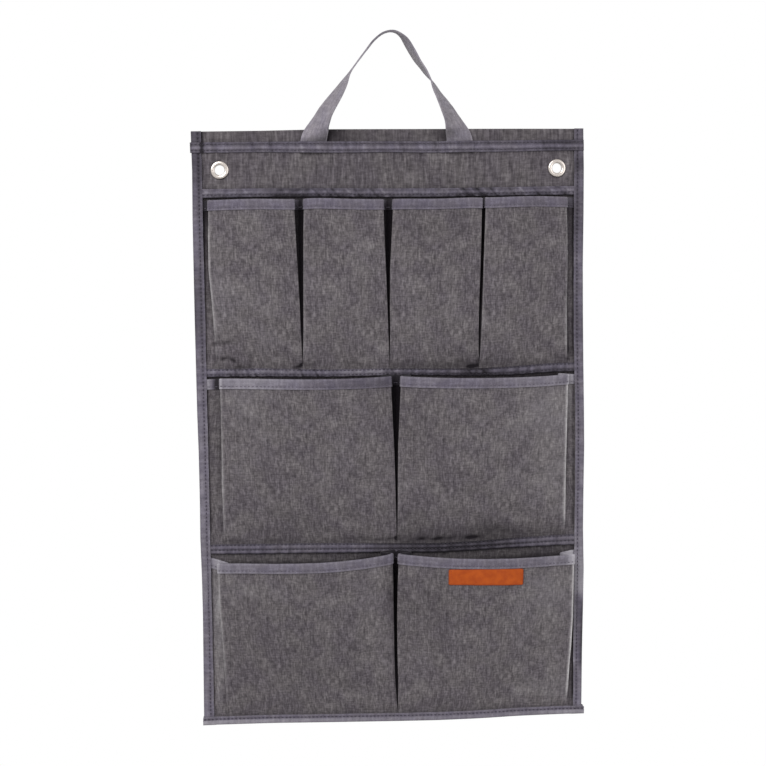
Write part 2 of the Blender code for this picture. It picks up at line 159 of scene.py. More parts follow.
# Heather polyester: 0.6 mm yarns that break into 1 mm wide, 5 mm long light and dark flecks.
# The weave is drawn at 1.2 mm, twice the real pitch, so that it still shows.
heather = woven(
    "heather polyester weave",
    stops=((0.36, "444044"), (0.5, "656064"), (0.64, "868185")),
    flecks=((620, 170, 0.4), (260, 75, 0.3), (170, 640, 0.3)),
    patch=38, rib=(0.0012, 0.0012), roughness=0.92, sheen=0.08, highlight_colour="dcd8da", deep="110b12",
    warm="fffefb", cool="ebe8ec",
)


# How far the sewn cloth hangs above its level, in millimetres: a row for each height, and in it
# places from the left edge to the right one. The tape's thread draws the cloth up unevenly.
HUNG_ACROSS = (-200, -130, -65, 0, 45, 90, 130, 165, 200)
HUNG_LEVELS = np.array((38.6, 29.3, 17.7, -27.7, -203.1, -211.3, -386.4, -394.6, -575.4))
HUNG = np.array((
    (0.4, 1.0, 2.3, 2.2, 2.1, 2.1, 2.0, 1.8, 1.6),
    (-1.5, -1.0, -1.1, -1.2, -1.5, -1.0, -0.9, -0.7, -0.6),
    (-0.4, 0.1, -0.9, -0.6, -1.4, -0.9, -0.6, 0.0, 0.1),
    (0.0, 0.5, 0.4, -0.6, -0.6, -0.3, 0.2, 0.6, 0.7),
    (1.1, 0.9, -1.4, -1.2, -2.1, -2.6, -0.7, 1.7, 2.4),
    (1.3, 0.7, -0.7, 0.2, -0.9, -2.1, -1.6, 0.7, 1.2),
    (1.4, 0.8, -0.1, -1.9, -2.8, -1.4, 1.0, 2.5, 3.8),
    (0.4, -0.6, -1.4, -2.2, -3.6, -2.1, -0.3, 0.9, 1.3),
    (-0.8, -0.9, -2.1, -3.1, -3.6, -3.1, -1.7, -1.3, -1.1),
))
# How far the outer edges stand to the right of straight, in millimetres, from the top down.
EDGE_LEVELS = (38, 0, -50, -100, -150, -200, -250, -290, -340, -380, -420, -460, -510, -575)
EDGE_SHIFT = {
    -1: (-1.3, -0.7, -1.4, -1.45, -1.45, -1.25, -1.0, -0.3, -0.2, -0.6, 0.2, 0.4, -0.2, -0.9),
    1: (0.6, 1.2, 1.0, 0.3, 0.5, 1.0, 1.7, 2.1, 1.3, 0.9, 1.8, 1.1, 0.0, -0.7),
}
# The same at every millimetre across, averaged over 33 of them with the middle counting most.
window = np.hanning(35)[1:-1]
hung_fine = np.array([
    np.convolve(np.interp(np.arange(-216, 217), HUNG_ACROSS, line), window / window.sum(), "valid")
    for line in HUNG
]) / 1000


def unit(vectors):
    """Each vector over its own length."""
    return vectors / np.maximum(np.linalg.norm(vectors, axis=-1, keepdims=True), 1e-12)


def together(*parts):
    """Numbers and arrays spread to one shape and joined along a last axis, such as x, y and z."""
    return np.stack(np.broadcast_arrays(*parts), axis=-1)


def clamp(share):
    """The share, held between 0 and 1."""
    return np.clip(share, 0, 1)


def spaced(start, *runs):
    """Places from a start on, through runs that are each given as an end and a number of steps."""
    places = [[start]]
    for end, steps in runs:
        places.append(np.linspace(places[-1][-1], end, steps + 1)[1:])
    return np.concatenate(places)


def hung(x, level):
    """The shift up at a place and height, straight between the nearest four smoothed entries."""
    row = np.interp(-level * 1000, -HUNG_LEVELS, np.arange(len(HUNG_LEVELS)))
    column = np.clip(x * 1000 + 200, 0, 400)
    i = np.minimum(row.astype(int), len(HUNG_LEVELS) - 2)
    j = np.minimum(column.astype(int), 399)
    s, t = row - i, column - j
    upper = hung_fine[i, j] * (1 - t) + hung_fine[i, j + 1] * t
    lower = hung_fine[i + 1, j] * (1 - t) + hung_fine[i + 1, j + 1] * t
    return upper * (1 - s) + lower * s


def edge_shift(z, side):
    """How far the edge on that side stands to the right of straight."""
    levels = -np.array(EDGE_LEVELS) / 1000
    return np.interp(-z, levels, np.array(EDGE_SHIFT[side])) / 1000


def hang(points):
    """Hang the panel's pieces: z gains hung(x, z), and x gains the edge's shift times
    (|x| - 150 mm) / 40 mm, held between 0 and 1.
    """
    x, y, z = np.moveaxis(points, -1, 0)
    near = clamp((np.abs(x) - 0.15) / 0.04)
    aside = np.where(x < 0, edge_shift(z, -1), edge_shift(z, 1)) * near
    return together(x + aside, y, z + hung(x, z))


def ripple(u, v, seed, size=0.0004):
    """Soft unevenness: size times the mean of four sines of u and v, with odd wavelengths."""
    rng = np.random.default_rng(seed)
    total = 0
    for wavelength in (0.021, 0.034, 0.055, 0.089):
        turn = rng.uniform(0, math.tau)
        phase = rng.uniform(0, math.tau)
        along = (u * math.cos(turn) + v * math.sin(turn)) * math.tau / wavelength
        total = total + np.sin(along + phase)
    return size * total / 4


def closed_sheet(name, points, cloth, thickness, finish, shading_and_tone=0, hole=None, flip=False):
    """A thin closed sheet through a grid of middle points.

    Its two faces lie half the thickness away along the normal, which is the cross product of the
    grid's two directions, and strips of quads close the four sides. flip turns the second
    direction round. Grid squares marked in hole are left out and their sides closed. cloth holds
    each point's place on the cut cloth, and the value of painted light and shade with tone is for
    both faces, or a pair of which the first is for the face that the normal points out of.
    """
    rows, columns = points.shape[:2]
    shading_and_tone = np.broadcast_to(shading_and_tone, (2, rows, columns))
    if flip:
        points, cloth, shading_and_tone = points[:, ::-1], cloth[:, ::-1], shading_and_tone[..., ::-1]
    shift = unit(np.cross(np.gradient(points, axis=0), np.gradient(points, axis=1)))
    shift = shift * thickness / 2
    vertices = np.concatenate((points + shift, points - shift)).reshape(-1, 3)
    far = rows * columns
    number = np.arange(far).reshape(rows, columns)
    kept = np.ones((rows - 1, columns - 1), bool) if hole is None else ~hole
    a, b, c, d = number[:-1, :-1], number[1:, :-1], number[1:, 1:], number[:-1, 1:]
    front = together(a, b, c, d)[kept]
    quads = [front, front[:, ::-1] + far]
    padded = np.pad(kept, 1)
    beyond = (
        (padded[1:-1, :-2], a, b), (padded[2:, 1:-1], b, c),
        (padded[1:-1, 2:], c, d), (padded[:-2, 1:-1], d, a),
    )
    for neighbour, start, end in beyond:
        quads.append(together(end, start, start + far, end + far)[kept & ~neighbour])
    return solid(name, vertices, np.concatenate(quads), finish,
                 cloth=np.tile(cloth.reshape(-1, 2), (2, 1)), shading_and_tone=shading_and_tone.ravel())


def solid(name, vertices, quads, finish, cloth=None, shading_and_tone=0, crease=50):
    """A mesh object from arrays of corners and quads, smooth but for edges sharper than crease."""
    used, corners = np.unique(quads, return_inverse=True)
    corners = corners.ravel().astype(np.int32)
    mesh = bpy.data.meshes.new(name)
    mesh.vertices.add(len(used))
    mesh.vertices.foreach_set("co", vertices[used].astype(np.float32).ravel())
    mesh.loops.add(len(corners))
    mesh.loops.foreach_set("vertex_index", corners)
    mesh.polygons.add(len(quads))
    mesh.polygons.foreach_set("loop_start", np.arange(0, len(corners), 4, dtype=np.int32))
    mesh.update(calc_edges=True)
    if cloth is not None:
        layer = mesh.uv_layers.new(name="cloth")
        layer.uv.foreach_set("vector", cloth[used][corners].astype(np.float32).ravel())
    layer = mesh.attributes.new("shading_and_tone", "FLOAT", "POINT")
    layer.data.foreach_set("value", np.broadcast_to(shading_and_tone, len(vertices))[used].astype(np.float32))
    mesh.materials.append(finish)
    mesh.shade_smooth()
    mesh.set_sharp_from_angle(angle=math.radians(crease))
    mesh.validate()
    made = bpy.data.objects.new(name, mesh)
    bpy.context.collection.objects.link(made)
    return made


def fasten(piece, slot, *nodes, body="organizer_panel"):
    """Fix a piece to a body: it stands for its CAD nodes, which are hidden. slot is not used."""
    if nodes:
        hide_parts(*nodes)
    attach(piece, body)


def round_holes(points):
    """Push the grid's points out of both eyelet holes, and mark the squares that lie inside them.

    A point nearer than HOLE_RADIUS to a hole's centre moves straight out to that distance.
    """
    hole = np.zeros((points.shape[0] - 1, points.shape[1] - 1), bool)
    for centre in (-EYELET_X, EYELET_X):
        x, z = points[..., 0] - centre, points[..., 2]
        away = np.hypot(x, z)
        inside = away < HOLE_RADIUS
        push = np.where(inside, HOLE_RADIUS / np.maximum(away, 1e-6), 1)
        points[..., 0] = centre + x * push
        points[..., 2] = z * push
        hole |= inside[:-1, :-1] & inside[1:, :-1] & inside[1:, 1:] & inside[:-1, 1:]
    return hole


across = spaced(-PANEL_HALF, (-FINE_X, 24), (FINE_X, 65), (PANEL_HALF, 24))
along = spaced(PANEL_BOTTOM, (-FINE_Z, 111), (FINE_Z, 16), (PANEL_TOP, 5))
x, z = np.meshgrid(across, along, indexing="ij")
points = hang(together(x, -PANEL_DEPTH, z))
points[..., 1] += ripple(x, z, seed=1, size=0.00025)
hole = round_holes(points)
# Painted shade darkens the front face inside the pockets, down from a line near each row's mouth.
inner = np.interp(x, (-0.19, -0.14, -0.09, -0.03, 0.0, 0.05, 0.1, 0.19),
                  (-0.401, -0.4035, -0.4040, -0.4000, -0.3970, -0.4010, -0.4035, -0.4010))
kept = 0.8 * clamp((-0.0262 - z) / 0.0015) * (z > -0.19)
kept = kept + 0.9 * clamp((-0.2095 - z) / 0.0015) * ((z < -0.2) & (z > -0.37))
below = np.interp(x, (-0.1, 0.0, 0.19), (0.2, 0.45, 0.4)) * (z < -0.385)
below = np.maximum(below, 0.9 * clamp((inner - z) / 0.002))
kept = (kept + below) * (np.abs(x) < 0.191) * (z > -0.56)
back = closed_sheet("back_panel_cloth", points, together(x, z), CLOTH, heather,
                    shading_and_tone=np.stack((-kept, 0 * kept)), hole=hole)
fasten(back, "heather_cloth", "back_panel")

# Header
# A wider strip of the same cloth folded over the top edge, with a thin board inside that keeps
# it straight. Its lower edge lies under a tape, its upper edge is turned down behind.

HEADER_LOW = -0.0267
HEADER_TOP = 0.0386
HEADER_HEM = 0.0293
FACE_DEPTH = 0.0039
TURN_DEPTH = 0.0011


def hump(away, width):
    """exp(-(away / width)^2): 1 where away is 0, and almost 0 from two widths on."""
    return np.exp(-(away / width) ** 2)


def travelled(points):
    """How far it is from the start to each point of a line, or of each line of a grid."""
    step = np.linalg.norm(np.diff(points, axis=-2), axis=-1)
    return np.concatenate((0 * step[..., :1], np.cumsum(step, axis=-1)), axis=-1)


# Polypropylene sheet: dull black, with a moulded pebble grain about 1 mm across.
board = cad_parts["header_stiffener"]
sheet_plastic, tree, shader = material("black polypropylene sheet")
grain = add(tree, "ShaderNodeTexNoise", {
    "Vector": add(tree, "ShaderNodeTexCoord").outputs["Object"], "Scale": 900.0,
})
pebble = add(tree, "ShaderNodeBump", {"Height": grain, "Strength": 0.2, "Distance": 0.0002})
plug(tree, shader, {"Base Color": light("2b2b2c"), "Roughness": 0.6, "Normal": pebble})
board.material_slots[0].material = sheet_plastic

# The strip's side view, from the lower edge up the front, over the top and down behind.
middle = (FACE_DEPTH + TURN_DEPTH) / 2
radius = (FACE_DEPTH - TURN_DEPTH) / 2
rise = spaced(HEADER_LOW, (-FINE_Z, 5), (FINE_Z, 16), (HEADER_TOP - radius - CLOTH / 2, 11))
turn = np.linspace(0, math.pi, 9)[1:]
level = np.concatenate((
    rise, rise[-1] + radius * np.sin(turn), np.linspace(rise[-1], HEADER_HEM, 5)[1:],
))
depth = np.concatenate((
    np.full(len(rise), FACE_DEPTH), middle + radius * np.cos(turn), np.full(4, TURN_DEPTH),
))
run = travelled(together(level, depth))
x, z = np.meshgrid(across, level, indexing="ij")
points = hang(together(x, -depth, z))
on_face = clamp((0.022 - z) / 0.01)
points[..., 1] += ripple(x, z, seed=2, size=0.00035) * on_face
hole = round_holes(points)
# The face is a little darker than the pockets, with painted shade over the tape and beside it
# and beside the bindings, and a painted shadow where the webbing stands in front of it.
facing = depth > 0.003
deep = np.interp(z, (-0.0205, -0.017, -0.0155, 0.013, 0.0155, 0.0177, 0.0295, 0.037),
                 (0.36, 0.28, 0.12, 0.12, 0.18, 0.37, 0.27, 0.2))
deep = deep + 0.05 * hump(x, 0.06)
deep = deep + 0.3 * hump(0.1895 - np.abs(x), 0.002)
strip = clamp((z - 0.028) / 0.001)
strap_shadow = np.exp(-np.abs(x + 0.063) / 0.007) * (x > -0.075) + np.exp(-np.abs(x - 0.058) / 0.004)
strap_shadow = strap_shadow + 0.6 * hump(x + 0.05, 0.018)
deep = (deep + 0.5 * strip * strap_shadow + 0.5 * strip * hump(x + 0.189, 0.0016)) * facing
# This strip was cut from a piece whose flecks run twice as long.
header = closed_sheet("header_cloth", points, together(0.85 * x, 0.5 * run), CLOTH, heather,
                      shading_and_tone=-deep, hole=hole)
fasten(header, "heather_cloth", "header_panel")

# Pocket strips
# Each pocket is one length of the strip: sewn flat at its foot, pleated in at both sides so
# that it can gape, and bulging forward between its two side folds.

ROW_DEPTH = 0.0030
FOOT = 0.0072
FOLD_RADIUS = 0.0016
DENT_WIDTH = 0.0019
UNDER_BINDING = 0.0078


def rounded_path(corners, radius, steps, bend=6):
    """Straight runs joined by curves, for every height at once.

    corners is heights by corners by 2. Each inner corner C becomes the curve
    (1 - t)^2 A + 2 t (1 - t) C + t^2 B, where A and B lie `radius` from C, or 0.45 of the
    shorter run beside it. Returns the points and, for each, its place in corner numbers.
    """
    run = np.diff(corners, axis=1)
    length = np.maximum(np.linalg.norm(run, axis=2, keepdims=True), 1e-9)
    ahead = run / length
    reach = np.minimum(radius, 0.45 * np.minimum(length[:, :-1], length[:, 1:]))
    nothing = np.zeros_like(length[:, :1])
    before = np.concatenate((reach, nothing), axis=1)
    after = np.concatenate((nothing, reach), axis=1)
    starts = corners[:, :-1] + ahead * after
    ends = corners[:, 1:] - ahead * before
    pieces = []
    places = []
    for k, count in enumerate(steps):
        t = np.linspace(0, 1, count)[None, :, None]
        pieces.append(starts[:, k:k + 1] * (1 - t) + ends[:, k:k + 1] * t)
        places.append(k + np.linspace(0.02, 0.98, count))
        if k + 1 < len(steps):
            t = np.linspace(0, 1, bend)[None, 1:-1, None]
            corner = corners[:, k + 1:k + 2]
            first, last = ends[:, k:k + 1], starts[:, k + 1:k + 2]
            pieces.append((1 - t) ** 2 * first + 2 * t * (1 - t) * corner + t ** 2 * last)
            places.append(np.full(bend - 2, k + 1.0))
    return np.concatenate(pieces, axis=1), np.concatenate(places)


ROWS = {
    "upper": dict(hinge=-0.2031, mouth=-0.0312, depth=0.016, crown=0.004, gusset=0.030),
    "middle": dict(hinge=-0.3864, mouth=-0.2148, depth=0.016, crown=0.006, gusset=0.030),
    "lower": dict(hinge=-0.5662, mouth=-0.3981, depth=0.020, crown=0.008, gusset=0.034),
}

# Millimetres, and shading values. Each side: where the strip leaves the panel, and at six heights
# from foot to mouth the fold's place, its painted highlight, the painted shade on the pleat behind
# it (painted light where positive), and how deep the painted shadow line is that the fold hides.
# One number holds for all six. rises: the mouth edge above its level, at the left root and crease,
# five places from fold to fold, and the right crease and root. foot is how deep the painted shade
# is along the seam. Dents are short creases pressed into the front, or raised where the depth is
# negative: across, up from the hinge, turn, length, depth. They are painted darker where pressed
# in and lighter where raised. Patches are soft areas of the front with painted light, or painted
# shade where the last value is negative: across, up, half width, half height, how much lighter.
FOLD_HEIGHTS = (0, 0.2, 0.4, 0.6, 0.8, 1)
POCKETS = {
    "upper_pocket_1": dict(
        left=(-190.2, (-179.6, -180.6, -183.5, -186.0, -185.6, -184.4),
              (0.2, 0.3, 0.7, 0.75, 0.55, 0.1), (0.0, -0.03, -0.14, -0.31, -0.54, -0.85), 0.4),
        right=(-91.9, (-92.1, -92.7, -93.6, -95.1, -96.5, -97.9), 0,
               (-0.1, -0.4, -0.85, -0.8, -0.72, -0.72), 0),
        rises=(-0.8, -0.8, -0.8, -0.4, 0.0, -0.2, -0.3, -0.3, -0.3), foot=0.12,
        dents=((-174.5, 27.5, 4, 20, 1.9), (-173, 11.5, -5, 19, 2.0), (-161, 8, -35, 9, 1.5),
               (-145, 7, 80, 12, 1.8), (-156, 2.5, 0, 18, 1.3), (-92.8, 4.2, 50, 6, 2.2),
               (-98, 1.5, 12, 10, 1.5)),
        shading_patches=((-174, 78, 26, 24, 0.13), (-130, 25, 14, 12, 0.06)),
    ),
    "upper_pocket_2": dict(
        left=(-91.6, (-91.4, -90.8, -90.4, -90.0, -89.5, -88.4), 0.25,
              (-0.1, -0.4, -0.8, -1, -1, -1), 0),
        right=(-2.2, (-2.4, -2.6, -3.7, -4.9, -6.3, -7.5), 0,
               (-0.1, -0.3, -0.7, -0.9, -0.76, -0.74), 0),
        rises=(-0.1, -0.1, -0.1, 0.3, -0.5, -1.0, -1.1, -1.1, -1.1), foot=0.1,
        dents=((-80, 5, 15, 14, 0.7), (-40, 5, -5, 20, 0.5), (-90.6, 5.5, -20, 5, 1.2)),
        shading_patches=((-75, 140, 20, 30, -0.09),),
    ),
    "upper_pocket_3": dict(
        left=(-1.7, (-1.6, -1.5, -1.7, -1.4, 0.4, 2.1), 0.07, (-0.1, -0.35, -0.8, -1, -1, -1), 0),
        right=(90.9, (90.8, 90.9, 91.4, 92.5, 93.2, 93.5), 0, (-0.3, -0.5, -0.9, -1, -1, -1), 0),
        rises=(-1.0, -1.0, -1.0, -1.1, -1.2, -0.5, -0.5, -0.5, -0.5), foot=0.4,
        dents=((20, 7, 12, 18, 0.6), (70, 6, -8, 16, 0.6), (90.2, 4.4, 78, 8, 2.4),
               (84, 0.0, 8, 11, 2.5)),
        shading_patches=((45, 148, 60, 26, -0.14), (80, 14, 14, 14, -0.2)),
    ),
    "upper_pocket_4": dict(
        left=(91.5, (91.8, 93.2, 94.0, 94.8, 95.8, 96.7), 0.18, (-0.3, -0.5, -0.9, -1, -1, -1), 0),
        right=(190.2, (183.4, 182.7, 182.6, 183.0, 182.0, 180.4),
               (0.35, 0.55, 0.3, 0.2, 0.2, 0.2), (-0.35, -0.38, -0.28, -0.3, -0.48, -0.6),
               (2.4, 0.8, 0.4, 0.3, 0.3, 0.4)),
        rises=(0.1, 0.1, 0.1, 0.1, 0.6, 0.4, -0.2, -0.2, -0.2), foot=0.3,
        dents=((176, 8, -12, 24, 1.0), (120, 6, 6, 16, 0.5), (101.5, 6, 60, 11, 1.2)),
        shading_patches=((138, 150, 28, 20, -0.17), (152, 76, 22, 18, -0.12)),
    ),
    "middle_pocket_1": dict(
        left=(-190.2, (-175.6, -175.7, -176.1, -176.2, -176.3, -176.4),
              (0.15, 0.4, 0.6, 0.5, 0.35, 0.2), -0.12, 0.5),
        right=(3.7, (3.5, 3.3, 2.6, 1.6, -0.1, -1.6), 0,
               (-0.1, -0.25, -0.55, -0.9, -0.95, -0.95), 0),
        rises=(1.0, 1.8, 2.7, 2.1, 1.0, 0.9, 2.4, 2.4, 2.4), foot=0.2,
        dents=((-167, 5.5, 3, 12, 1.5), (-120, 5, 4, 30, 0.5), (-40, 5, -3, 30, 0.5),
               (2.8, 4.5, 85, 7, 2.5), (-4, 3.5, 10, 10, 1.3), (-15, 3, 0, 10, 0.8)),
        shading_patches=((-154, 150, 26, 28, 0.09), (-90, 20, 70, 30, -0.08), (-5, 152, 14, 24, -0.1)),
    ),
    "middle_pocket_2": dict(
        left=(4.2, (4.5, 4.6, 4.7, 5.2, 6.7, 8.4), 0.14, (-0.1, -0.25, -0.6, -1, -1, -1), 0),
        right=(190.2, (181.2, 181.1, 181.5, 182.0, 182.1, 182.3),
               (0.6, 1.1, 1.1, 1.15, 1.25, 1.4), (-0.1, -0.08, 0.0, 0.1, 0.3, 0.45), 0.4),
        rises=(2.4, 2.4, 2.4, 0.2, -0.6, -0.3, 1.7, 2.0, 0.4), foot=0.05,
        dents=((83, 3.4, 3, 17, 2.2), (50, 2.8, 4, 24, 1.9), (30, 3.0, 0, 14, 0.8),
               (120, 9, -6, 24, 0.6), (4.9, 4.5, 90, 6, 1.8)),
        shading_patches=((168, 135, 52, 38, 0.16), (174, 62, 32, 45, 0.12), (90, 0, 300, 17, -0.42),
               (26, 25, 16, 9, -0.22), (20, 135, 30, 45, -0.09), (104, 12, 16, 6, -0.3)),
    ),
    "lower_pocket_1": dict(
        left=(-190.2, (-175.9, -176.4, -178.3, -180.7, -181.9, -182.0),
              (0.0, 0.2, 0.45, 0.65, 0.8, 0.65), (0.1, 0.14, 0.19, 0.24, 0.28, 0.25),
              (0.9, 0.3, 0, 0, 0, 0)),
        right=(2.6, (2.3, 0.6, -0.3, -0.7, -1.1, -2.0), -0.25, (-0.8, -1, -1, -1, -1, -1), 0),
        rises=(-1.7, -5.0, -3.7, -3.8, -4.2, -2.8, 2.6, 2.6, 2.6), foot=0.1,
        dents=((-182.5, 119, 86, 24, -1.3), (-185, 112, 90, 14, -0.8), (-170, 60, 70, 26, 0.5),
               (-120, 9, 3, 40, 0.4)),
        shading_patches=((-158, 134, 20, 14, 0.1), (-30, 128, 22, 26, 0.08), (-110, 55, 70, 50, -0.08),
               (-4, 128, 6, 28, -0.38)),
    ),
    "lower_pocket_2": dict(
        left=(3.2, (3.5, 3.2, 2.3, 2.1, 2.6, 3.9), 0.07, (-0.8, -1, -1, -1, -1, -1), 0),
        right=(190.2, (182.6, 184.9, 187.2, 188.3, 188.1, 187.8),
               (0.4, 1.5, 1.9, 1.7, 1.8, 1.7), (-0.5, -0.47, -0.37, -0.21, 0.01, 0.3), 0.2),
        rises=(2.0, 2.0, 2.0, -2.4, -4.3, -4.2, -3.2, -3.0, -2.6), foot=0.1,
        dents=((150, 9, -3, 36, 0.5), (50, 8, 4, 30, 0.4)),
        shading_patches=((160, 130, 30, 24, 0.16), (166, 60, 30, 60, 0.06), (162, 12, 36, 20, 0.1),
               (28, 118, 34, 34, -0.14)),
    ),
}

for name, pocket in POCKETS.items():
    row = ROWS[name.split("_")[0]]
    pocket.update(row, height=row["mouth"] - row["hinge"])


def strip_path(pocket, v):
    """The pocket's middle surface at height shares v: places (x, depth), and corner numbers.

    From left to right the corners are the sewn-down end, the left root, the inward crease, the
    left fold, the right fold and the same again mirrored. The crease lies halfway, moved in by
    half of sqrt(gusset^2 - depth^2) times v.
    """
    shape = clamp(v)
    depth = ROW_DEPTH + pocket["depth"] * shape
    tuck = shape * math.sqrt(pocket["gusset"] ** 2 - pocket["depth"] ** 2) / 2
    sides = []
    for side, inward in (("left", 1), ("right", -1)):
        root = pocket[side][0] / 1000
        fold = np.interp(shape, FOLD_HEIGHTS, pocket[side][1]) / 1000
        end = root - inward * (UNDER_BINDING if abs(root) > 0.15 else 0.0001)
        crease = (root + fold) / 2 + inward * (tuck + 0.0002)
        sides.append([
            (end, ROW_DEPTH), (root, ROW_DEPTH), (crease, (ROW_DEPTH + depth) / 2), (fold, depth),
        ])
    corners = [together(*corner, v)[:, :2] for corner in sides[0] + sides[1][::-1]]
    wide = pocket["right"][0] - pocket["left"][0] > 130
    steps = (4, 9, 9, 144 if wide else 72, 9, 9, 4)
    return rounded_path(np.stack(corners, axis=1), FOLD_RADIUS, steps)


def outward(points, axis=1):
    """The level direction that stands out from a strip: its run along the axis, turned by 90."""
    run = np.gradient(points[..., :2], axis=axis)
    return unit(together(run[..., 1], -run[..., 0]))


def pocket_surface(name, v, lift=0):
    """Points on a pocket at height shares v, each moved along the strip's own normal by its lift.

    depth = path depth + crown * sin(pi u) * (1 - (1 - v)^2) + ripples - dents, and
    z = level + hung(x, hinge) * (1 - v) + rise * v, with u the share across the front.
    Returns the points, their places on the cut cloth, their painted light and shade with tone,
    and their corner numbers.
    """
    pocket = POCKETS[name]
    path, place = strip_path(pocket, v)
    u = clamp(place - 3)
    shape = clamp(v)[:, None]
    bulge = np.sin(math.pi * u)
    x, depth = path[..., 0], path[..., 1]
    depth = depth + pocket["crown"] * bulge * (1 - (1 - shape) ** 2)
    level = pocket["hinge"] + pocket["height"] * v[:, None]
    rises = np.array(pocket["rises"]) / 1000
    rise = np.polyval(np.polyfit((0, 0.25, 0.5, 0.75, 1), rises[2:7], 4), u)
    rise = np.where(place < 3, np.interp(place, (1, 2, 3), rises[:3]), rise)
    rise = np.where(place > 4, np.interp(place, (4, 5, 6), rises[6:]), rise)
    z = level + hung(x, np.minimum(level, pocket["hinge"])) * (1 - shape) + rise * shape
    up = z - pocket["hinge"]
    seed = sum(map(ord, name))
    depth = depth + ripple(x, z, seed, 0.0011) * np.minimum(1, 6 * shape) * bulge ** 0.5
    pressed = 0
    for at, high, turn, long, deep in pocket["dents"]:
        aside, above = x - at / 1000, up - high / 1000
        cos, sin = math.cos(math.radians(turn)), math.sin(math.radians(turn))
        dent = deep * hump(aside * cos + above * sin, long / 2000)
        pressed = pressed + dent * hump(above * cos - aside * sin, DENT_WIDTH)
    pressed = pressed * (1 + 0.8 * ripple(2.5 * x, 2.5 * z, seed + 9, 1.0))
    depth = depth - pressed / 1000 * bulge ** 0.3 * np.minimum(1, 12 * shape)
    flat = together(x, -depth)
    flat = flat + outward(flat) * np.reshape(lift, (-1, 1, 1))
    points = together(flat[..., 0], flat[..., 1], z)
    run = travelled(points)
    centre = np.argmin(np.abs(u - 0.5))
    run = run - run[:, centre:centre + 1]
    # Painted shade darkens the pressed dents and the foot, the tone varies a little at random, and
    # patches of the front carry painted light and shade.
    in_front = clamp((place - 2.6) / 0.4) * clamp((4.4 - place) / 0.4)
    shading_and_tone = -0.42 * pressed - in_front * pocket["foot"] * hump(up - 0.001, 0.005)
    shading_and_tone = shading_and_tone + 0.07 * ripple(run, z, seed + 3, 1.0)
    for at, high, wide, tall, lighter in pocket["shading_patches"]:
        patch = hump(x * 1000 - at, wide) * hump(up * 1000 - high, tall)
        shading_and_tone = shading_and_tone + lighter * patch * in_front
    # Each half has a painted highlight at its own fold. The pleat behind it has painted shade,
    # lighter where positive, with a painted shadow line that the fold hides and painted shade at
    # its root.
    for side, inward, mine, corner in (("left", 1, u < 0.5, 3.0), ("right", -1, u >= 0.5, 4.0)):
        root = pocket[side][0] / 1000
        fold_highlight, shade, cast = (
            np.interp(shape, FOLD_HEIGHTS, np.broadcast_to(value, 6)) for value in pocket[side][2:]
        )
        fold = np.flatnonzero(place == corner)[1]
        into = (run - run[:, fold:fold + 1]) * inward
        front = fold_highlight * hump(into, 0.0016) * np.minimum(1, 8 * shape)
        fold_shadow = np.exp(-np.abs(x - x[:, fold:fold + 1]) / 0.002)
        bound = (0.45 if abs(root) > 0.15 else 0.7) * hump(x - root, 0.0017)
        inside = clamp(-into / 0.0015) * np.minimum(1, 12 * shape)
        shading_and_tone = shading_and_tone + mine * (front * (1 - inside) + (shade - cast * fold_shadow - bound) * inside)
    return points, together(run, level - pocket["hinge"]), shading_and_tone, place


def bend_with(name, piece, slot, *nodes):
    """Bake a piece's place into its mesh; it is not bent with its pocket. fixed where it lies on
    the panel, free at the fold's depth.

    It stands for its CAD nodes, which are hidden; slot is not used.
    """
    if nodes:
        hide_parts(*nodes)
    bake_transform(piece)


for name, pocket in POCKETS.items():
    height = pocket["height"]
    v = spaced(-FOOT / height, (0, 3), (0.2, 31), (0.93, 53), (1 - 0.0004 / height, 5))
    points, cloth, shading_and_tone, _ = pocket_surface(name, v)
    strip = closed_sheet(f"{name}_cloth", points, cloth, CLOTH, heather, shading_and_tone=shading_and_tone, flip=True)
    nodes = [f"{name}_{part}" for part in ("front", "gusset_left", "gusset_right")]
    if name.endswith("_1"):
        nodes.append(f"{name.split('_')[0]}_row_foot")
    bend_with(name, strip, "heather_cloth", *nodes)

# Sewing thread
# Lockstitch in dark violet grey polyester thread, about 4 mm a stitch, pulled down into the
# tapes. Each stitch is a short lozenge whose ends sink into the cloth.

STITCH_PITCH = 0.0040
STITCH = 0.0031
THREAD = 0.0007


def twisted(name, dark, pale):
    """A thread finish: twisted strands about 0.5 mm apart, with painted shade where they turn
    under.
    """
    made, tree, shader = material(name)
    twist = add(tree, "ShaderNodeTexWave", {
        "Vector": add(tree, "ShaderNodeTexCoord").outputs["Object"],
        "Scale": math.tau / (20 * 0.0005),
    }, bands_direction="DIAGONAL")
    strands = add(tree, "ShaderNodeValToRGB", {"Fac": twist.outputs["Fac"]},
                  ((0.0, dark), (1.0, pale)))
    plug(tree, shader, {"Base Color": strands, "Roughness": 0.6})
    return made


thread = twisted("spun polyester thread", "1f1a24", "393241")
pale_thread = twisted("lilac grey polyester thread", "45404c", "625c69")


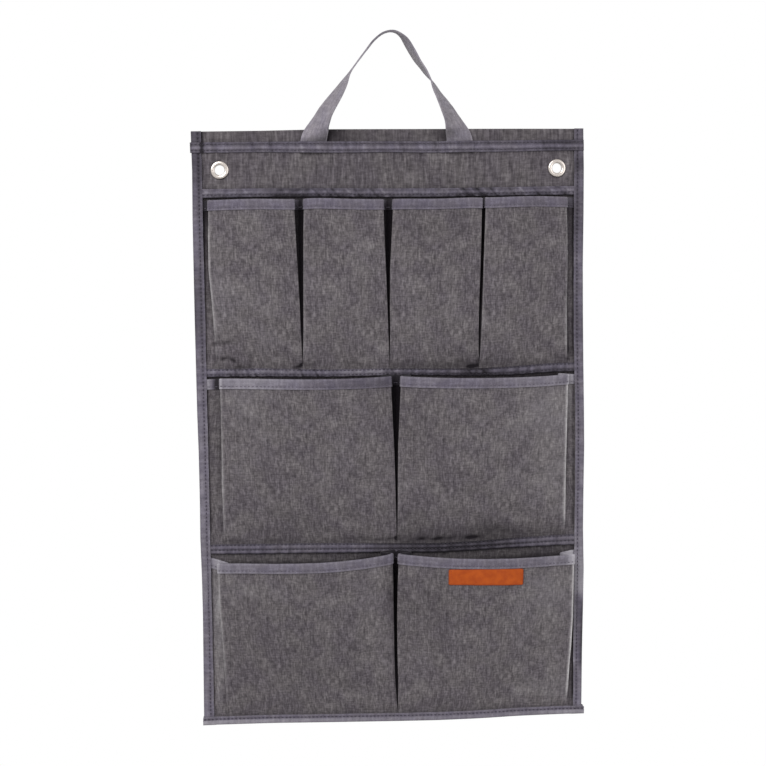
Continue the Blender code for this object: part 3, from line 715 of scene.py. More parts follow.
def stitches(name, lines, finish, pitch=STITCH_PITCH, length=STITCH, thick=THREAD):
    """Stitches along lines, each given as points and what direction stands out from the cloth.

    Each is five rings of six points. At share t from -1 to 1 along it, the ring's radius is
    thick / 2 * sqrt(1.05 - t^2), and it sinks by 0.9 * thick * t^2 below the line.
    """
    t = np.linspace(-1, 1, 5)
    angle = np.arange(6)[:, None] * math.tau / 6
    vertices = []
    for path, out in lines:
        run = travelled(path)
        count = int(run[-1] / pitch)
        station = ((np.arange(count) + 0.5) * run[-1] / count)[:, None] + length / 2 * t
        spot, up = (
            together(*(np.interp(station, run, part[:, k]) for k in range(3)))
            for part in (path, np.broadcast_to(out, path.shape))
        )
        ahead, up = unit(np.gradient(spot, axis=1)), unit(up)
        spot = spot - up * (0.9 * thick * t ** 2 - 0.25 * thick)[:, None]
        side = np.cross(ahead, up)
        ring = side[:, :, None] * np.cos(angle) + up[:, :, None] * np.sin(angle)
        radius = (thick / 2 * np.sqrt(1.05 - t ** 2))[:, None, None]
        vertices.append((spot[:, :, None] + radius * ring).reshape(-1, 3))
    vertices = np.concatenate(vertices)
    first = np.arange(0, len(vertices), 30)[:, None, None]
    base = first + 6 * np.arange(4)[:, None] + np.arange(6)
    beside = first + 6 * np.arange(4)[:, None] + (np.arange(6) + 1) % 6
    quads = [together(base, beside, beside + 6, base + 6).reshape(-1, 4)]
    for cap in ((0, 3, 2, 1), (0, 5, 4, 3), (24, 25, 26, 27), (24, 27, 28, 29)):
        quads.append(first[:, 0] + np.array(cap))
    return solid(name, vertices, np.concatenate(quads), finish, crease=80)


# Mouth tapes
# Woven binding folded over each strip's upper edge and sewn through, so it follows the pleats.
# Both legs are 9 mm long, its folded edge has a painted highlight, and its thread nearly matches
# it.

# Polypropylene binding: cross ribs 0.8 mm apart, drawn at 1.5 mm, with a soft violet grey sheen.
binding = woven(
    "polypropylene binding tape",
    stops=((0.34, "524d58"), (0.5, "68636d"), (0.66, "827d88")),
    flecks=((260, 60, 0.45), (90, 300, 0.3), (900, 900, 0.25)),
    patch=60, rib=(0.0015, 0.0009), roughness=0.62, sheen=0.15, highlight_colour="b4b0b8", deep="110a15",
    warm="fffdff", cool="f8f6ff",
)
TAPE = 0.0006
MOUTH_LEG = 0.0093
MOUTH_SEWN = 0.0028
GAP = 0.0003
OVER = CLOTH / 2 + GAP + TAPE / 2
THREAD_ABOVE = TAPE / 2 + 0.0001
# Painted light and shade on each tape at the left fold, three places between and the right fold.
MOUTH_SHADING = {
    "upper_pocket_1": (-0.05, -0.05, -0.05, 0.0, 0.0),
    "upper_pocket_2": (-0.05, -0.08, -0.06, 0.0, -0.1),
    "upper_pocket_3": (-0.05, -0.08, -0.08, 0.0, 0.15),
    "upper_pocket_4": (0.05, -0.1, -0.12, -0.1, -0.05),
    "middle_pocket_1": (0.45, 0.5, 0.1, -0.3, -0.3),
    "middle_pocket_2": (0.2, 0.05, 0.0, 0.2, 0.25),
    "lower_pocket_1": (0.4, 0.15, 0.12, 0.1, 0.05),
    "lower_pocket_2": (0.1, 0.1, 0.05, 0.1, 0.4),
}
# How much lighter some are at distances outside their outer fold, in millimetres: painted
# highlights, and painted shadows where negative.
MOUTH_BESIDE_FOLD = {
    "middle_pocket_1": ("left", (-3, -1.2, 0.2, 0.6, 1.4, 2.5, 3.5, 5, 6, 7, 8, 9, 11, 12, 13),
                        (0, 0.9, 0.6, -0.5, -2.6, -2.2, -1.6, -1.1, -0.95, -0.65, -0.3, -0.05,
                         0.3, 1.0, 1.1)),
    "middle_pocket_2": ("right", (4, 5, 7, 8), (0, 0.7, 0.7, 0)),
    "lower_pocket_1": ("left", (-3, -1, 1, 2.5), (0, 0.8, 0.8, 0)),
    "lower_pocket_2": ("right", (-12, -6, -3, 0, 1.5, 3), (0, 0.5, 1.1, 1.6, 1.2, 0.5)),
}

for name, pocket in POCKETS.items():
    height = pocket["height"]
    low = 1 - MOUTH_LEG / height
    # Up the front leg, over the fold on a half circle, and down the leg behind.
    leg = np.linspace(low, 1, 9)
    over = np.linspace(0, math.pi, 7)
    v = np.concatenate((leg, np.ones(len(over) - 2), leg[::-1]))
    turn = np.pad(over, len(leg) - 1, mode="edge")
    lift = OVER * np.cos(turn)
    points, cloth, shading_and_tone, place = pocket_surface(name, v, lift)
    along = cloth[..., 0]
    up = (v - low)[:, None] * height
    sewn = hump(up - MOUTH_SEWN, 0.0012)
    # Away from its stitches the tape puffs out, and along them it rises between one and the next.
    puff = 0.00022 * (1 - sewn) + 0.00012 * np.sin(along * math.tau / STITCH_PITCH) * sewn
    puff = puff + ripple(along, points[..., 2] * 3, sum(map(ord, name)) + 5, 0.00025)
    points[..., :2] += outward(points) * (puff * lift[:, None] / OVER)[..., None]
    points[..., 2] += OVER * np.sin(turn)[:, None]
    girth = travelled(together(v * height, lift))[:, None]
    # Painted light and shade across it, painted highlights on its folded and lower edges and
    # painted shade at its stitches, added to the pocket's own painted light and shade and weaker
    # where that is dark.
    edge = 0.2 * hump(girth - girth[len(girth) // 2], 0.0016) + 0.15 * hump(up, 0.0012)
    tape_shading = np.interp(place, (3, 3.25, 3.5, 3.75, 4), MOUTH_SHADING[name])
    tape_shading = (tape_shading + edge - 0.12 * sewn) * (1 + np.minimum(shading_and_tone, 0))
    if name in MOUTH_BESIDE_FOLD:
        side, away, lighter = MOUTH_BESIDE_FOLD[name]
        beside = np.abs(points[..., 0]) * 1000 - abs(pocket[side][1][-1])
        tape_shading = tape_shading + np.interp(beside, away, lighter)
    tape = closed_sheet(f"{name}_mouth_binding", points, together(along, girth), TAPE, binding,
                        shading_and_tone=shading_and_tone + tape_shading, flip=True)
    bend_with(name, tape, "binding_tape", f"{name}_mouth_tape")
    lines = []
    for side in (1, -1):
        at = np.array([low + MOUTH_SEWN / height])
        line = pocket_surface(name, at, side * (OVER + THREAD_ABOVE))[0][0]
        lines.append((line, np.append(side * outward(line, axis=0), 0 * line[:, :1], axis=1)))
    bend_with(name, stitches(f"{name}_mouth_stitches", lines, pale_thread), "binding_tape")

# Seam tapes
# Flat tape over the sewn foot of the two upper rows, held by a row of stitches near its lower
# edge and one near its upper edge. The thread pulls it into small puckers.


def stitch_wave(run):
    """1 at the middle of each of the stitches that stitches() spreads along the run, -1 between."""
    start, stop = run[0], run[-1]
    return -np.cos(math.tau * int((stop - start) / STITCH_PITCH) * (run - start) / (stop - start))


def flat_tape(name, node, left, right, low, high, depth, rows, seed, tone, dim=((0,), (0,)),
              pinches=(), pull=0.0003, slant=0.0, swell=0.22):
    """A tape along x between two heights, with stitch rows and the puckers that they pull.

    depth is how far out its middle lies at places across, and rows are the stitch rows' distances
    down from its upper edge. tone is its painted light and shade at distances down, and dim what
    is added at places across, in millimetres. Pinches are places across where the thread bunches
    the tape, with painted shade, or where it stands up if their strength is negative, with painted
    highlight, and swell is how much lighter its waves are painted.

    Across its width it stands out by pull * (1 - exp(-(d / 1.1 mm)^2)) for the nearest row at
    distance d. Between the rows uneven waves of 3.3 stitches run across it, leaning by slant, and
    small ones of one stitch where the rows hold it. Returns the lines of its stitches.
    """
    u = np.linspace(left, right, int((right - left) / 0.0011))
    x, share = np.meshgrid(u, np.linspace(0, 1, 15), indexing="ij")
    z = low + (high - low) * share
    down = high - z
    held = np.max([hump(down - line, 0.0011) for line in rows], axis=0)
    beat = ripple(u, 0, seed + 1, 1.0)[:, None]
    wave = np.sin((x + slant * down) * math.tau / (3.3 * STITCH_PITCH) + 3 * beat)
    small = stitch_wave(u)[:, None]
    bunched = 0
    for at, strength in pinches:
        fold = strength * hump(x * 1000 - at - (0.3 + slant) * down * 1000, 1.5)
        bunched = bunched + (fold if strength > 0 else fold * (1 - held))
    middle = np.interp(u, *depth)
    stand = middle[:, None] + pull * (1 - held) * (1 + 0.55 * wave) + 0.00008 * small * held
    stand = stand - 0.0002 * hump(np.minimum(share, 1 - share), 0.05) - 0.00035 * bunched
    # Painted light and shade: tone down it and dim across it, darker at each stitch and in each
    # pinch, and lighter on its waves and where it stands up.
    shading_and_tone = np.interp(down * 1000, *tone) + np.interp(x * 1000, *dim) - 0.15 * small * held
    shading_and_tone = shading_and_tone + swell * wave * (1 - held) - 0.45 * bunched
    points = hang(together(x, -stand, z))
    fasten(closed_sheet(name, points, together(x, z), TAPE, binding, shading_and_tone=shading_and_tone),
           "binding_tape", node)
    out = -middle - THREAD_ABOVE
    return [(hang(together(u, out, high - line)), (0, -1, 0)) for line in rows]


# All the way across, this tape's middle lies at one depth, on the rows' strips.
ON_STRIP = ((0,), (0.0044,))
panel_lines = flat_tape(
    "upper_row_seam_binding", "upper_seam_tape", -PANEL_HALF, PANEL_HALF, -0.2113, -0.2031,
    ON_STRIP, (0.0012, 0.0062), 21,
    tone=((0, 1.2, 2.4, 3.8, 4.8, 5.8, 6.6, 7.4, 8.2),
          (-0.5, -0.25, 0.08, 0.15, -0.1, -0.4, -0.3, -0.5, -1)),
    dim=((-155, -142, -125, -60, -32, -12, 0, 20, 64, 80, 98, 112, 130, 160),
         (0, 0.35, 0, 0, 0.22, 0.18, -0.2, -0.4, -0.4, -0.7, -0.7, -0.4, -0.35, -0.25)), slant=0.2,
    pinches=((-169, 1), (-162, 0.7), (-156, 0.8), (-150.6, 1), (-143, 1.6), (-120, 0.5),
             (-95, 1.4), (-80, 1.4), (-74, 0.6), (-8, 0.6), (0, 0.8), (80, 1), (94, 1.2)),
)
panel_lines += flat_tape(
    "middle_row_seam_binding", "middle_seam_tape", -PANEL_HALF, PANEL_HALF, -0.3946, -0.3858,
    ON_STRIP, (0.0010, 0.0054), 22,
    tone=((0, 1, 2.6, 4, 5.2, 6.6, 7.6, 8.8), (-0.6, -0.55, 0.05, -0.15, -0.7, -0.05, -0.1, -0.8)),
    dim=((-40, -10, 20, 60, 105, 130, 160), (0.0, -0.35, -0.55, -0.7, -0.6, -0.3, 0.0)), swell=0.12,
)

# Header tapes
# The upper tape crosses the webbing's ends, climbs over both side bindings and is turned under
# at its own ends. The lower one closes the header's cut edge between the side bindings.

EDGE_DEPTH = 0.0058
WEBBING = 0.0015
STRAP_DEPTH = 0.00535
over_binding = EDGE_DEPTH + GAP + TAPE / 2
over_strap = STRAP_DEPTH + WEBBING / 2 + GAP + TAPE / 2
on_header = FACE_DEPTH + CLOTH / 2 + GAP + TAPE / 2
STRAPS = (-0.0773, 0.0721)
STRAP_HALF = 0.01325
# Half of the tape's level stretch on each strap, and how far beside that it is down again.
ON_STRAP = STRAP_HALF + 0.00005
COMES_DOWN = 0.0022
TOP_TAPE_ENDS = (-0.2008, 0.1996)
place = [TOP_TAPE_ENDS[0], -0.1995, -0.190, -0.187]
stand = [0.0050, over_binding, over_binding, on_header]
for centre in STRAPS:
    place += [centre - ON_STRAP - COMES_DOWN, centre - ON_STRAP]
    place += [centre + ON_STRAP, centre + ON_STRAP + COMES_DOWN]
    stand += [on_header, over_strap, over_strap, on_header]
place += [0.187, 0.190, 0.1985, TOP_TAPE_ENDS[1]]
stand += [on_header, over_binding, over_binding, 0.0050]
panel_lines += flat_tape(
    "header_top_binding", "header_top_tape", *TOP_TAPE_ENDS, 0.0177, 0.0293, (place, stand),
    (0.0022, 0.0091), 31, pull=0.00045, swell=0.06,
    tone=((0, 1, 2, 3, 4, 5, 6, 7, 8, 9, 10.3, 11.6),
          (-0.5, -0.25, -0.5, -0.6, -0.45, -0.15, 0.12, 0.1, -0.3, -0.55, -0.25, -0.5)),
    dim=((-201, -199, -191.5, -190, -188.5, -186.5, 150, 168, 188, 198, 200),
         (-0.4, -0.12, -0.12, -1, -0.8, 0, 0, -0.32, -0.32, 0, -0.4)),
    pinches=((-180, 0.5), (-168, -0.6), (-140, 0.5), (-122, 0.6), (-91.5, -1.3), (-70, -0.5),
             (-52, -0.9), (-45, 0.5), (-27, -0.7), (-10, 0.4), (12, 0.5), (31, -0.5), (46, 0.6),
             (59, -1.1), (66, -0.6), (101, 0.5), (128, -0.4), (158, 0.5), (171, -0.5)),
)
panel_lines += flat_tape(
    "header_lower_binding", "header_lower_tape", -0.1905, 0.1905, -0.0277, -0.0191,
    ((0,), (on_header,)), (0.0060,), 32, pull=0.0005, slant=0.6, swell=0.1,
    tone=((0, 0.8, 1.6, 2.6, 4.4, 5.2, 6, 7, 8.6),
          (-0.3, -0.1, -0.35, -0.05, 0.2, -0.1, -0.45, -0.5, -0.6)),
    dim=((-128, -114, -84, -77, -60, -15, 15, 64, 74, 98, 108, 180),
         (0, -0.5, -0.5, -0.12, -0.2, -0.2, -0.1, -0.05, -0.45, -0.45, -0.05, -0.05)),
    pinches=((-189, -0.8), (-150, -0.8), (-109, -0.6), (-79, 1), (-67, 0.8), (-60, 0.9),
             (-45.5, -1.5), (-37, 0.8), (-20, 0.9), (-10, -1.3), (23, -1), (56, -0.5), (69, -1),
             (75, 0.8), (82, -1.4), (89, 0.9), (95, -0.9), (103, 1), (122, 0.9), (133, -1.3),
             (147, 1), (163, -1.1), (173, 0.7), (180, -0.9)),
)

# Edge bindings
# The same tape doubled and folded round the panel's cut edges, sewn a third of its width in
# from its inner edge. The bottom one goes on last, over the ends of both side ones.

EDGE_WIDTH = 0.0092
EDGE_WALL = 0.0012
EDGE_TURN = 0.0024
EDGE_SEWN = 0.0062
# How far the thread is pulled into this tape's front.
PULLED_IN = 0.0002
BOUND_HALF = 0.2
# The side ones' lowest steps are tucked into the bottom one, which is sewn through all.
SIDE_FOOT = -0.5735
SIDE_SEWN = -0.5650
TUCKED_STEPS = 7


def edge_profile(seed, run, width=EDGE_WIDTH, sewn_from=0):
    """The folded tape's side view at every place along it, as (inward, depth) middle points.

    It goes from the rear leg's inner edge out to the fold, round it on a half circle pressed
    flat (a power of 0.7 on the cosine), and back along the front leg, which stands out a little
    between the stitches and dips at them. All of it is scaled to the width at each place. Before
    the place numbered sewn_from it is pressed thinner, to go inside the next tape, unstitched.
    Returns the two, the distance round it, and its painted light and shade.
    """
    inset = EDGE_WALL / 2
    leg = np.linspace(EDGE_WIDTH, EDGE_TURN, 13)
    turn = np.linspace(-math.pi / 2, math.pi / 2, 11)[1:-1]
    fold = EDGE_TURN - (EDGE_TURN - inset) * np.cos(turn) ** 0.7
    sine = np.sin(turn)
    one, none = np.ones(13), np.zeros(13)
    inward = np.concatenate((leg, fold, leg[::-1]))
    front = np.concatenate((none, clamp(sine), one))
    rear = np.concatenate((one, clamp(-sine), none))
    held = hump(inward - EDGE_SEWN, 0.0010) * front
    free = hump(EDGE_WIDTH - inward, 0.0012) * front
    small = np.concatenate((np.zeros(sewn_from), stitch_wave(run[sewn_from:])))[:, None]
    slow = ripple(run, 0, seed, 1.0)[:, None]
    tucked = clamp((run[sewn_from] - run) / 0.002)[:, None]
    depth = np.concatenate((-one, np.sign(sine) * np.abs(sine) ** 0.8, one))
    depth = EDGE_DEPTH / 2 + (EDGE_DEPTH / 2 - inset) * depth
    depth = depth - 0.0003 * held - 0.00008 * small * held
    depth = depth + 0.0002 * slow * front * (inward > 0.007)
    depth = depth + 0.0016 * tucked * rear - 0.0004 * tucked * front
    # Painted highlights along its free edge and a band of its front leg, and painted shade at its
    # stitches.
    edge = 0.15 * free + 0.15 * front * hump(inward - 0.003, 0.0015)
    edge = edge - (0.27 + 0.2 * small) * held
    wide = np.broadcast_to(width, run.shape)[:, None] / EDGE_WIDTH
    return (inward * wide + 0.0003 * slow * free, depth,
            travelled(together(inward, depth[0])), edge)


# The inner edges run straighter than the outer ones, and the tape has painted light and shade
# in places.
INNER_EDGE = {
    -1: ((-0.575, 0.0386), (0.1898, 0.1908)),
    1: ((-0.575, -0.5, -0.315, -0.24, -0.17, -0.05, -0.01, 0.0386),
        (0.1902, 0.1902, 0.1922, 0.1920, 0.1904, 0.1903, 0.1908, 0.1908)),
}
EDGE_SHADING = {
    -1: (
        (-575, -465, -440, -415, -400, -330, -260, -215, -190, -170, -150, -125, -100, -80, -50,
         -28, -10, 10, 36),
        (0.05, 0.05, 0.25, 0.4, 0.15, 0.1, 0.1, -0.05, -0.22, -0.35, -0.5, -0.47, -0.27, -0.03,
         -0.12, -0.32, -0.6, -0.7, -0.6),
    ),
    1: (
        (-560, -535, -520, -500, -480, -462, -452, -442, -430, -415, -395, -370, -320, -230, -195,
         -175, -150, -115, -95, -75, -60, -30, -12, 3, 20, 36),
        (0.1, 0.0, -0.2, -0.3, -0.2, -0.2, 0.0, 1.0, 1.1, 0.9, 0.35, 0.1, 0.0, -0.03, -0.12,
         -0.35, -0.35, -0.2, -0.1, -0.3, -0.5, -0.42, -0.28, -0.7, -0.3, -0.3),
    ),
}
# How much lighter the tape is painted at its inner edge than at its outer one.
EDGE_LEAN = {
    -1: ((-175, -155, -105, -90), (0, 0.5, 0.5, 0)),
    1: ((-530, -518, -462, -448), (0, 1.5, 1.5, 0)),
}
for side, sign in (("left", -1), ("right", 1)):
    run = spaced(SIDE_FOOT, (SIDE_SEWN, TUCKED_STEPS), (HEADER_TOP, 1099))
    outer = BOUND_HALF + sign * edge_shift(run, sign)
    width = outer - np.interp(run, *INNER_EDGE[sign])
    inward, depth, girth, edge = edge_profile(40 + sign, run, width, TUCKED_STEPS)
    z = run[:, None]
    x = sign * (outer[:, None] - inward)
    shading_and_tone = edge + np.interp(z * 1000, *EDGE_SHADING[sign])
    shading_and_tone = shading_and_tone + np.interp(z * 1000, *EDGE_LEAN[sign]) * (inward / width[:, None] - 0.5)
    tape = closed_sheet(
        f"side_binding_{side}", together(x, -depth, z + hung(x, z)), together(z, girth), EDGE_WALL,
        binding, shading_and_tone=shading_and_tone, flip=sign < 0,
    )
    fasten(tape, "binding_tape", f"binding_{side}")
    x = sign * (outer - EDGE_SEWN * width / EDGE_WIDTH)
    for depth, out in ((EDGE_DEPTH - PULLED_IN, -1), (0, 1)):
        line = together(x, -depth, run + hung(x, run))
        panel_lines.append((line[TUCKED_STEPS:], (0, out, 0)))

PANEL_FOOT = -0.5754
BOTTOM_ENDS = (-0.2006, 0.2022)
BOTTOM_SEWN = 0.0066
OVER_SIDES = 0.0013
# Its ends are rounded off and a little narrower, and its front leg steps out over the side ones.
run = np.linspace(*BOTTOM_ENDS, 760)
inward, depth, girth, edge = edge_profile(50, run)
ends = np.minimum((run - run[0]) / 0.004, (run[-1] - run) / 0.004)[:, None]
ends = np.sqrt(1 - (1 - clamp(ends)) ** 2)
front = clamp((depth - EDGE_DEPTH / 2) / (EDGE_DEPTH / 2))
over = OVER_SIDES * clamp((np.abs(run) - 0.186) / 0.004)
depth = depth + over[:, None] * front
points = hang(together(run[:, None], -depth, PANEL_FOOT + inward * (0.86 + 0.14 * ends)))
# Painted light on the outer part of its front leg, most at its ends and most of all at the left.
outer = clamp((0.0056 - inward) / 0.001) * front
lit = np.interp(run * 1000, (-200, -180, -20, 10, 150, 180), (1.2, 1.0, 0.42, 0.3, 0.3, 0.8))
tape = closed_sheet("bottom_binding", points, together(run[:, None], girth), EDGE_WALL, binding,
                    shading_and_tone=edge + lit[:, None] * outer)
fasten(tape, "binding_tape", "binding_bottom")
for depth, out in ((EDGE_DEPTH - PULLED_IN + over, -1), (0, 1)):
    panel_lines.append((hang(together(run, -depth, PANEL_FOOT + BOTTOM_SEWN)), (0, out, 0)))

# Seams through the panel
# The rows' stitches show on the back too, and short upright ones hold the strip between the
# pockets. All the thread on the panel is one piece.

# The thread's depth on the panel's rear face, and just under the header's turned edge.
BACK_DEPTH = 0.00145
TURNED_DEPTH = 0.0006
for level, depth in ((-0.2089, BACK_DEPTH), (-0.3922, BACK_DEPTH), (0.0276, TURNED_DEPTH),
                     (0.0200, BACK_DEPTH), (-0.0249, BACK_DEPTH)):
    panel_lines.append((hang(together(np.linspace(-0.189, 0.189, 200), -depth, level)), (0, 1, 0)))
for at, row in ((-0.09235, "upper"), (-0.002, "upper"), (0.0911, "upper"), (0.00415, "middle"),
                (0.0034, "lower")):
    rise = np.linspace(ROWS[row]["hinge"], ROWS[row]["mouth"] - 0.002, 60)
    panel_lines.append((hang(together(at, -BACK_DEPTH, rise)), (0, 1, 0)))
fasten(stitches("panel_stitches", panel_lines, thread), "binding_tape")

# Handle
# One length of flat webbing whose two ends are sewn under the header's upper tape. It rises,
# turns on edge and meets itself in a narrow arch.

# Polypropylene webbing: lengthwise ribs about 1.6 mm apart and a fine cross weave.
webbing = woven(
    "polypropylene webbing",
    stops=((0.34, "716c73"), (0.5, "8d888e"), (0.66, "a8a3a9")),
    flecks=((420, 120, 0.4), (60, 200, 0.3), (900, 900, 0.3)),
    patch=45, rib=(0.0016, 0.0011), roughness=0.7, sheen=0.15, highlight_colour="a9a4ae", deep="1a161d",
    warm="fffdff", cool="f8f6ff",
)
ARCH_DEPTH = STRAP_HALF + 0.0006
ARCH_MIDDLE = 0.0036

# Places along the centre line: x, z and the strap's turn in degrees, from the left end to the
# right one, read off the arch's width at each height.
HANDLE = np.array((
    (-77.3, 18.7, 0), (-77.3, 24.0, 0), (-77.2, 29.0, 2), (-75.6, 35.5, 14), (-72.6, 42.7, 40),
    (-69.5, 48.6, 48), (-67.1, 53.5, 54), (-64.3, 58.5, 56), (-61.0, 63.5, 59), (-57.5, 68.4, 62),
    (-54.0, 73.3, 65), (-50.7, 78.3, 69), (-47.5, 83.2, 73), (-44.8, 88.2, 78), (-42.0, 93.1, 84),
    (-38.7, 98.0, 87), (-34.9, 103.0, 87), (-31.2, 108.0, 88), (-27.3, 112.9, 88),
    (-23.5, 117.9, 88), (-19.6, 122.8, 89), (-16.4, 126.8, 88), (-12.2, 130.7, 87),
    (-8.0, 134.0, 86), (-2.5, 136.5, 84), (3.2, 137.3, 83), (8.6, 135.8, 84), (13.4, 131.8, 88),
    (17.2, 127.2, 94), (21.0, 120.8, 95), (24.8, 114.5, 95), (28.4, 108.2, 93),
    (32.4, 102.9, 90), (35.9, 97.9, 90), (39.3, 92.9, 86), (42.8, 88.0, 81), (45.4, 83.0, 75),
    (47.8, 78.0, 72), (50.8, 73.0, 69), (54.0, 68.0, 64), (56.9, 63.1, 60), (59.8, 58.1, 55),
    (62.4, 53.1, 52), (65.0, 48.1, 46), (67.6, 42.2, 35), (70.6, 35.2, 13), (72.1, 29.0, 2),
    (72.1, 24.0, 0), (72.1, 18.7, 0),
))


def through(table, count):
    """A smooth curve through the table's rows: at share t between rows 1 and 2 of four,
    0.5 * (2 p1 + (p2 - p0) t + (2 p0 - 5 p1 + 4 p2 - p3) t^2 + (3 p1 - p0 - 3 p2 + p3) t^3).
    """
    rows = np.concatenate((2 * table[:1] - table[1:2], table, 2 * table[-1:] - table[-2:-1]))
    at = np.linspace(0, len(table) - 1, count)
    first = np.minimum(at.astype(int), len(table) - 2)
    t = (at - first)[:, None]
    p0, p1, p2, p3 = (rows[first + k] for k in range(4))
    return 0.5 * (2 * p1 + (p2 - p0) * t + (2 * p0 - 5 * p1 + 4 * p2 - p3) * t ** 2
                  + (3 * p1 - p0 - 3 * p2 + p3) * t ** 3)


# The curve is smoothed, so that a place read off a little wrong leaves no kink.
line = through(HANDLE, 440)
soft = np.array((1, 4, 6, 4, 1)) / 16
for _ in range(14):
    padded = np.pad(line, ((2, 2), (0, 0)), mode="edge")
    line = np.stack([np.convolve(part, soft, "valid") for part in padded.T], axis=-1)
x, z = line[:, 0] / 1000, line[:, 1] / 1000
twist = np.radians(line[:, 2])[:, None]
share = clamp(twist / math.radians(90))
depth = STRAP_DEPTH + (ARCH_DEPTH - STRAP_DEPTH) * np.sin(np.minimum(twist[:, 0], math.pi / 2))
centre = together(x, -depth, z)
# Its width points level at both ends and square to its line higher up, and swings out by its turn.
ahead = unit(np.gradient(together(x, z), axis=0))
level = together(np.sign(ARCH_MIDDLE - x), 0, 0)
inward = unit(level * (1 - share) + together(ahead[:, 1], 0, -ahead[:, 0]) * share)
width = inward * np.cos(twist) + np.array((0, -1, 0)) * np.sin(twist)
q = np.linspace(-1, 1, 17)
points = centre[:, None] + width[:, None] * (q * STRAP_HALF)[:, None]
cloth = together(q * STRAP_HALF, travelled(centre)[:, None])
x, z = x[:, None], z[:, None]
# Its edges are lighter on both legs and darker over the arch.
edge_tone = 0.3 - 0.65 * clamp((z - 0.112) / 0.01)
# Painted shade darkens it where it comes out of the tape, most at its inner edges.
kept = 0.72 * clamp((0.0365 + 0.0035 * q - z) / 0.0085) * (x < 0)
kept = kept + 0.33 * clamp((0.044 - z) / 0.006) * (x > 0)
strap = closed_sheet("handle_webbing_strap", points, cloth, WEBBING, webbing,
                     shading_and_tone=edge_tone * hump(1 - np.abs(q), 0.07) - kept, flip=True)
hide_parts("handle_strap", "handle_end_left", "handle_end_right")
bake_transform(strap)

# Eyelets
# Pressed brass, nickel plated and bright. The front half is a domed flange with a barrel that is
# rolled over a plain washer behind the cloth.

# Nickel plate: a clear, slightly warm mirror with faint turning marks from pressing.
nickel, tree, shader = material("nickel plated brass")
marks = add(tree, "ShaderNodeTexNoise", {
    "Vector": add(tree, "ShaderNodeTexCoord").outputs["Object"], "Scale": 700.0, "Detail": 2.0,
})
roughness = add(tree, "ShaderNodeMapRange", {"Value": marks, "To Min": 0.14, "To Max": 0.3})
plug(tree, shader, {"Base Color": light("bfb7b1"), "Metallic": 1.0, "Roughness": roughness})


def turned(name, profile, x, count=72):
    """A closed line of (radius, depth) points turned about the axis along y through (x, 0, 0)."""
    radius, depth = np.array(profile).T[..., None] / 1000
    angle = np.arange(count) * math.tau / count
    grid = together(x + radius * np.cos(angle), -depth, radius * np.sin(angle))
    number = np.arange(len(radius) * count).reshape(len(radius), count)
    over = np.roll(number, -1, axis=0)
    quads = together(number, over, np.roll(over, -1, axis=1), np.roll(number, -1, axis=1))
    return solid(name, grid.reshape(-1, 3), quads.reshape(-1, 4), nickel, crease=40)


turn = np.linspace(0, math.pi, 13)
dome = [(7.1 - 2.1 * math.cos(a), 4.65 + 1.35 * math.sin(a) ** 0.8) for a in turn]
dome = [(5.0, 0.75)] + dome + [(9.2, 4.6), (5.4, 4.6), (5.4, 1.0)]
roll = [(6.4 - 1.0 * math.cos(a), 0.7 - 0.6 * math.sin(a)) for a in np.linspace(0.4, 2.6, 7)]
dome = dome + [(7.3, 0.9), *reversed(roll)]
washer = [(5.7, 1.0), (5.8, 1.2), (8.9, 1.2), (9.0, 1.1), (9.0, 0.9), (8.9, 0.8), (5.8, 0.8),
          (5.7, 0.85)]
for side, x in (("left", -EYELET_X), ("right", EYELET_X)):
    fasten(turned(f"eyelet_{side}_flange", dome, x), "eyelet_nickel", f"eyelet_{side}")
    fasten(turned(f"eyelet_{side}_backing", washer, x), "eyelet_nickel", f"eyelet_washer_{side}")

# Tag
# A bare strip of orange leather-look polyurethane, cut with small rounded corners and sewn on
# along its two short ends, its upper edge just under the mouth tape.

# Embossed polyurethane: pebble grain about 0.9 mm across, slightly darker along its rim.
leather, tree, shader = material("embossed polyurethane")
cloth_place = add(tree, "ShaderNodeUVMap", uv_map="cloth")
pebbles = add(tree, "ShaderNodeTexVoronoi", {"Vector": cloth_place, "Scale": 1100.0})
clouds = add(tree, "ShaderNodeTexNoise", {"Vector": cloth_place, "Scale": 120.0, "Detail": 3.0})
dye = add(tree, "ShaderNodeValToRGB", {"Fac": clouds}, ((0.35, "a54308"), (0.65, "b8520f")))
darker_rim = add(tree, "ShaderNodeAttribute", attribute_name="shading_and_tone").outputs["Fac"]
dyed = add(tree, "ShaderNodeMix", {0: darker_rim, 6: dye, 7: light("7d2f08")}, data_type="RGBA")
grain = add(tree, "ShaderNodeBump", {"Height": pebbles, "Strength": 0.25, "Distance": 0.0003})
plug(tree, shader, {
    "Base Color": dyed.outputs[2], "Normal": grain, "Roughness": 0.5, "Specular IOR Level": 0.3,
})

TAG_SIDES = (0.0552, 0.1329)
TAG_TOP, TAG_BOTTOM = (-0.4116, -0.4122), (-0.4281, -0.4299)
TAG_HEIGHT = 0.0169
TAG_WALL = 0.001
TAG_CORNER = 0.0012
under, _, _, place = pocket_surface(
    "lower_pocket_2", np.linspace(0.78, 0.95, 24), CLOTH / 2 + GAP + TAG_WALL / 2
)
at = np.linspace(*TAG_SIDES, 61)
under = np.stack([
    together(*(np.interp(at, line[:, 0], line[:, k]) for k in (1, 2)))
    for line in under[:, (place >= 3) & (place <= 4)]
])
q = np.linspace(0, 1, 17)[:, None]
low, high = np.interp(at, TAG_SIDES, TAG_BOTTOM), np.interp(at, TAG_SIDES, TAG_TOP)
level = low + (high - low) * q
stand = np.stack([np.interp(level[:, k], *under[:, k, ::-1].T) for k in range(61)], axis=1)
half_x, half_z = (TAG_SIDES[1] - TAG_SIDES[0]) / 2, TAG_HEIGHT / 2
along, down = at - sum(TAG_SIDES) / 2, (2 * q - 1) * half_z
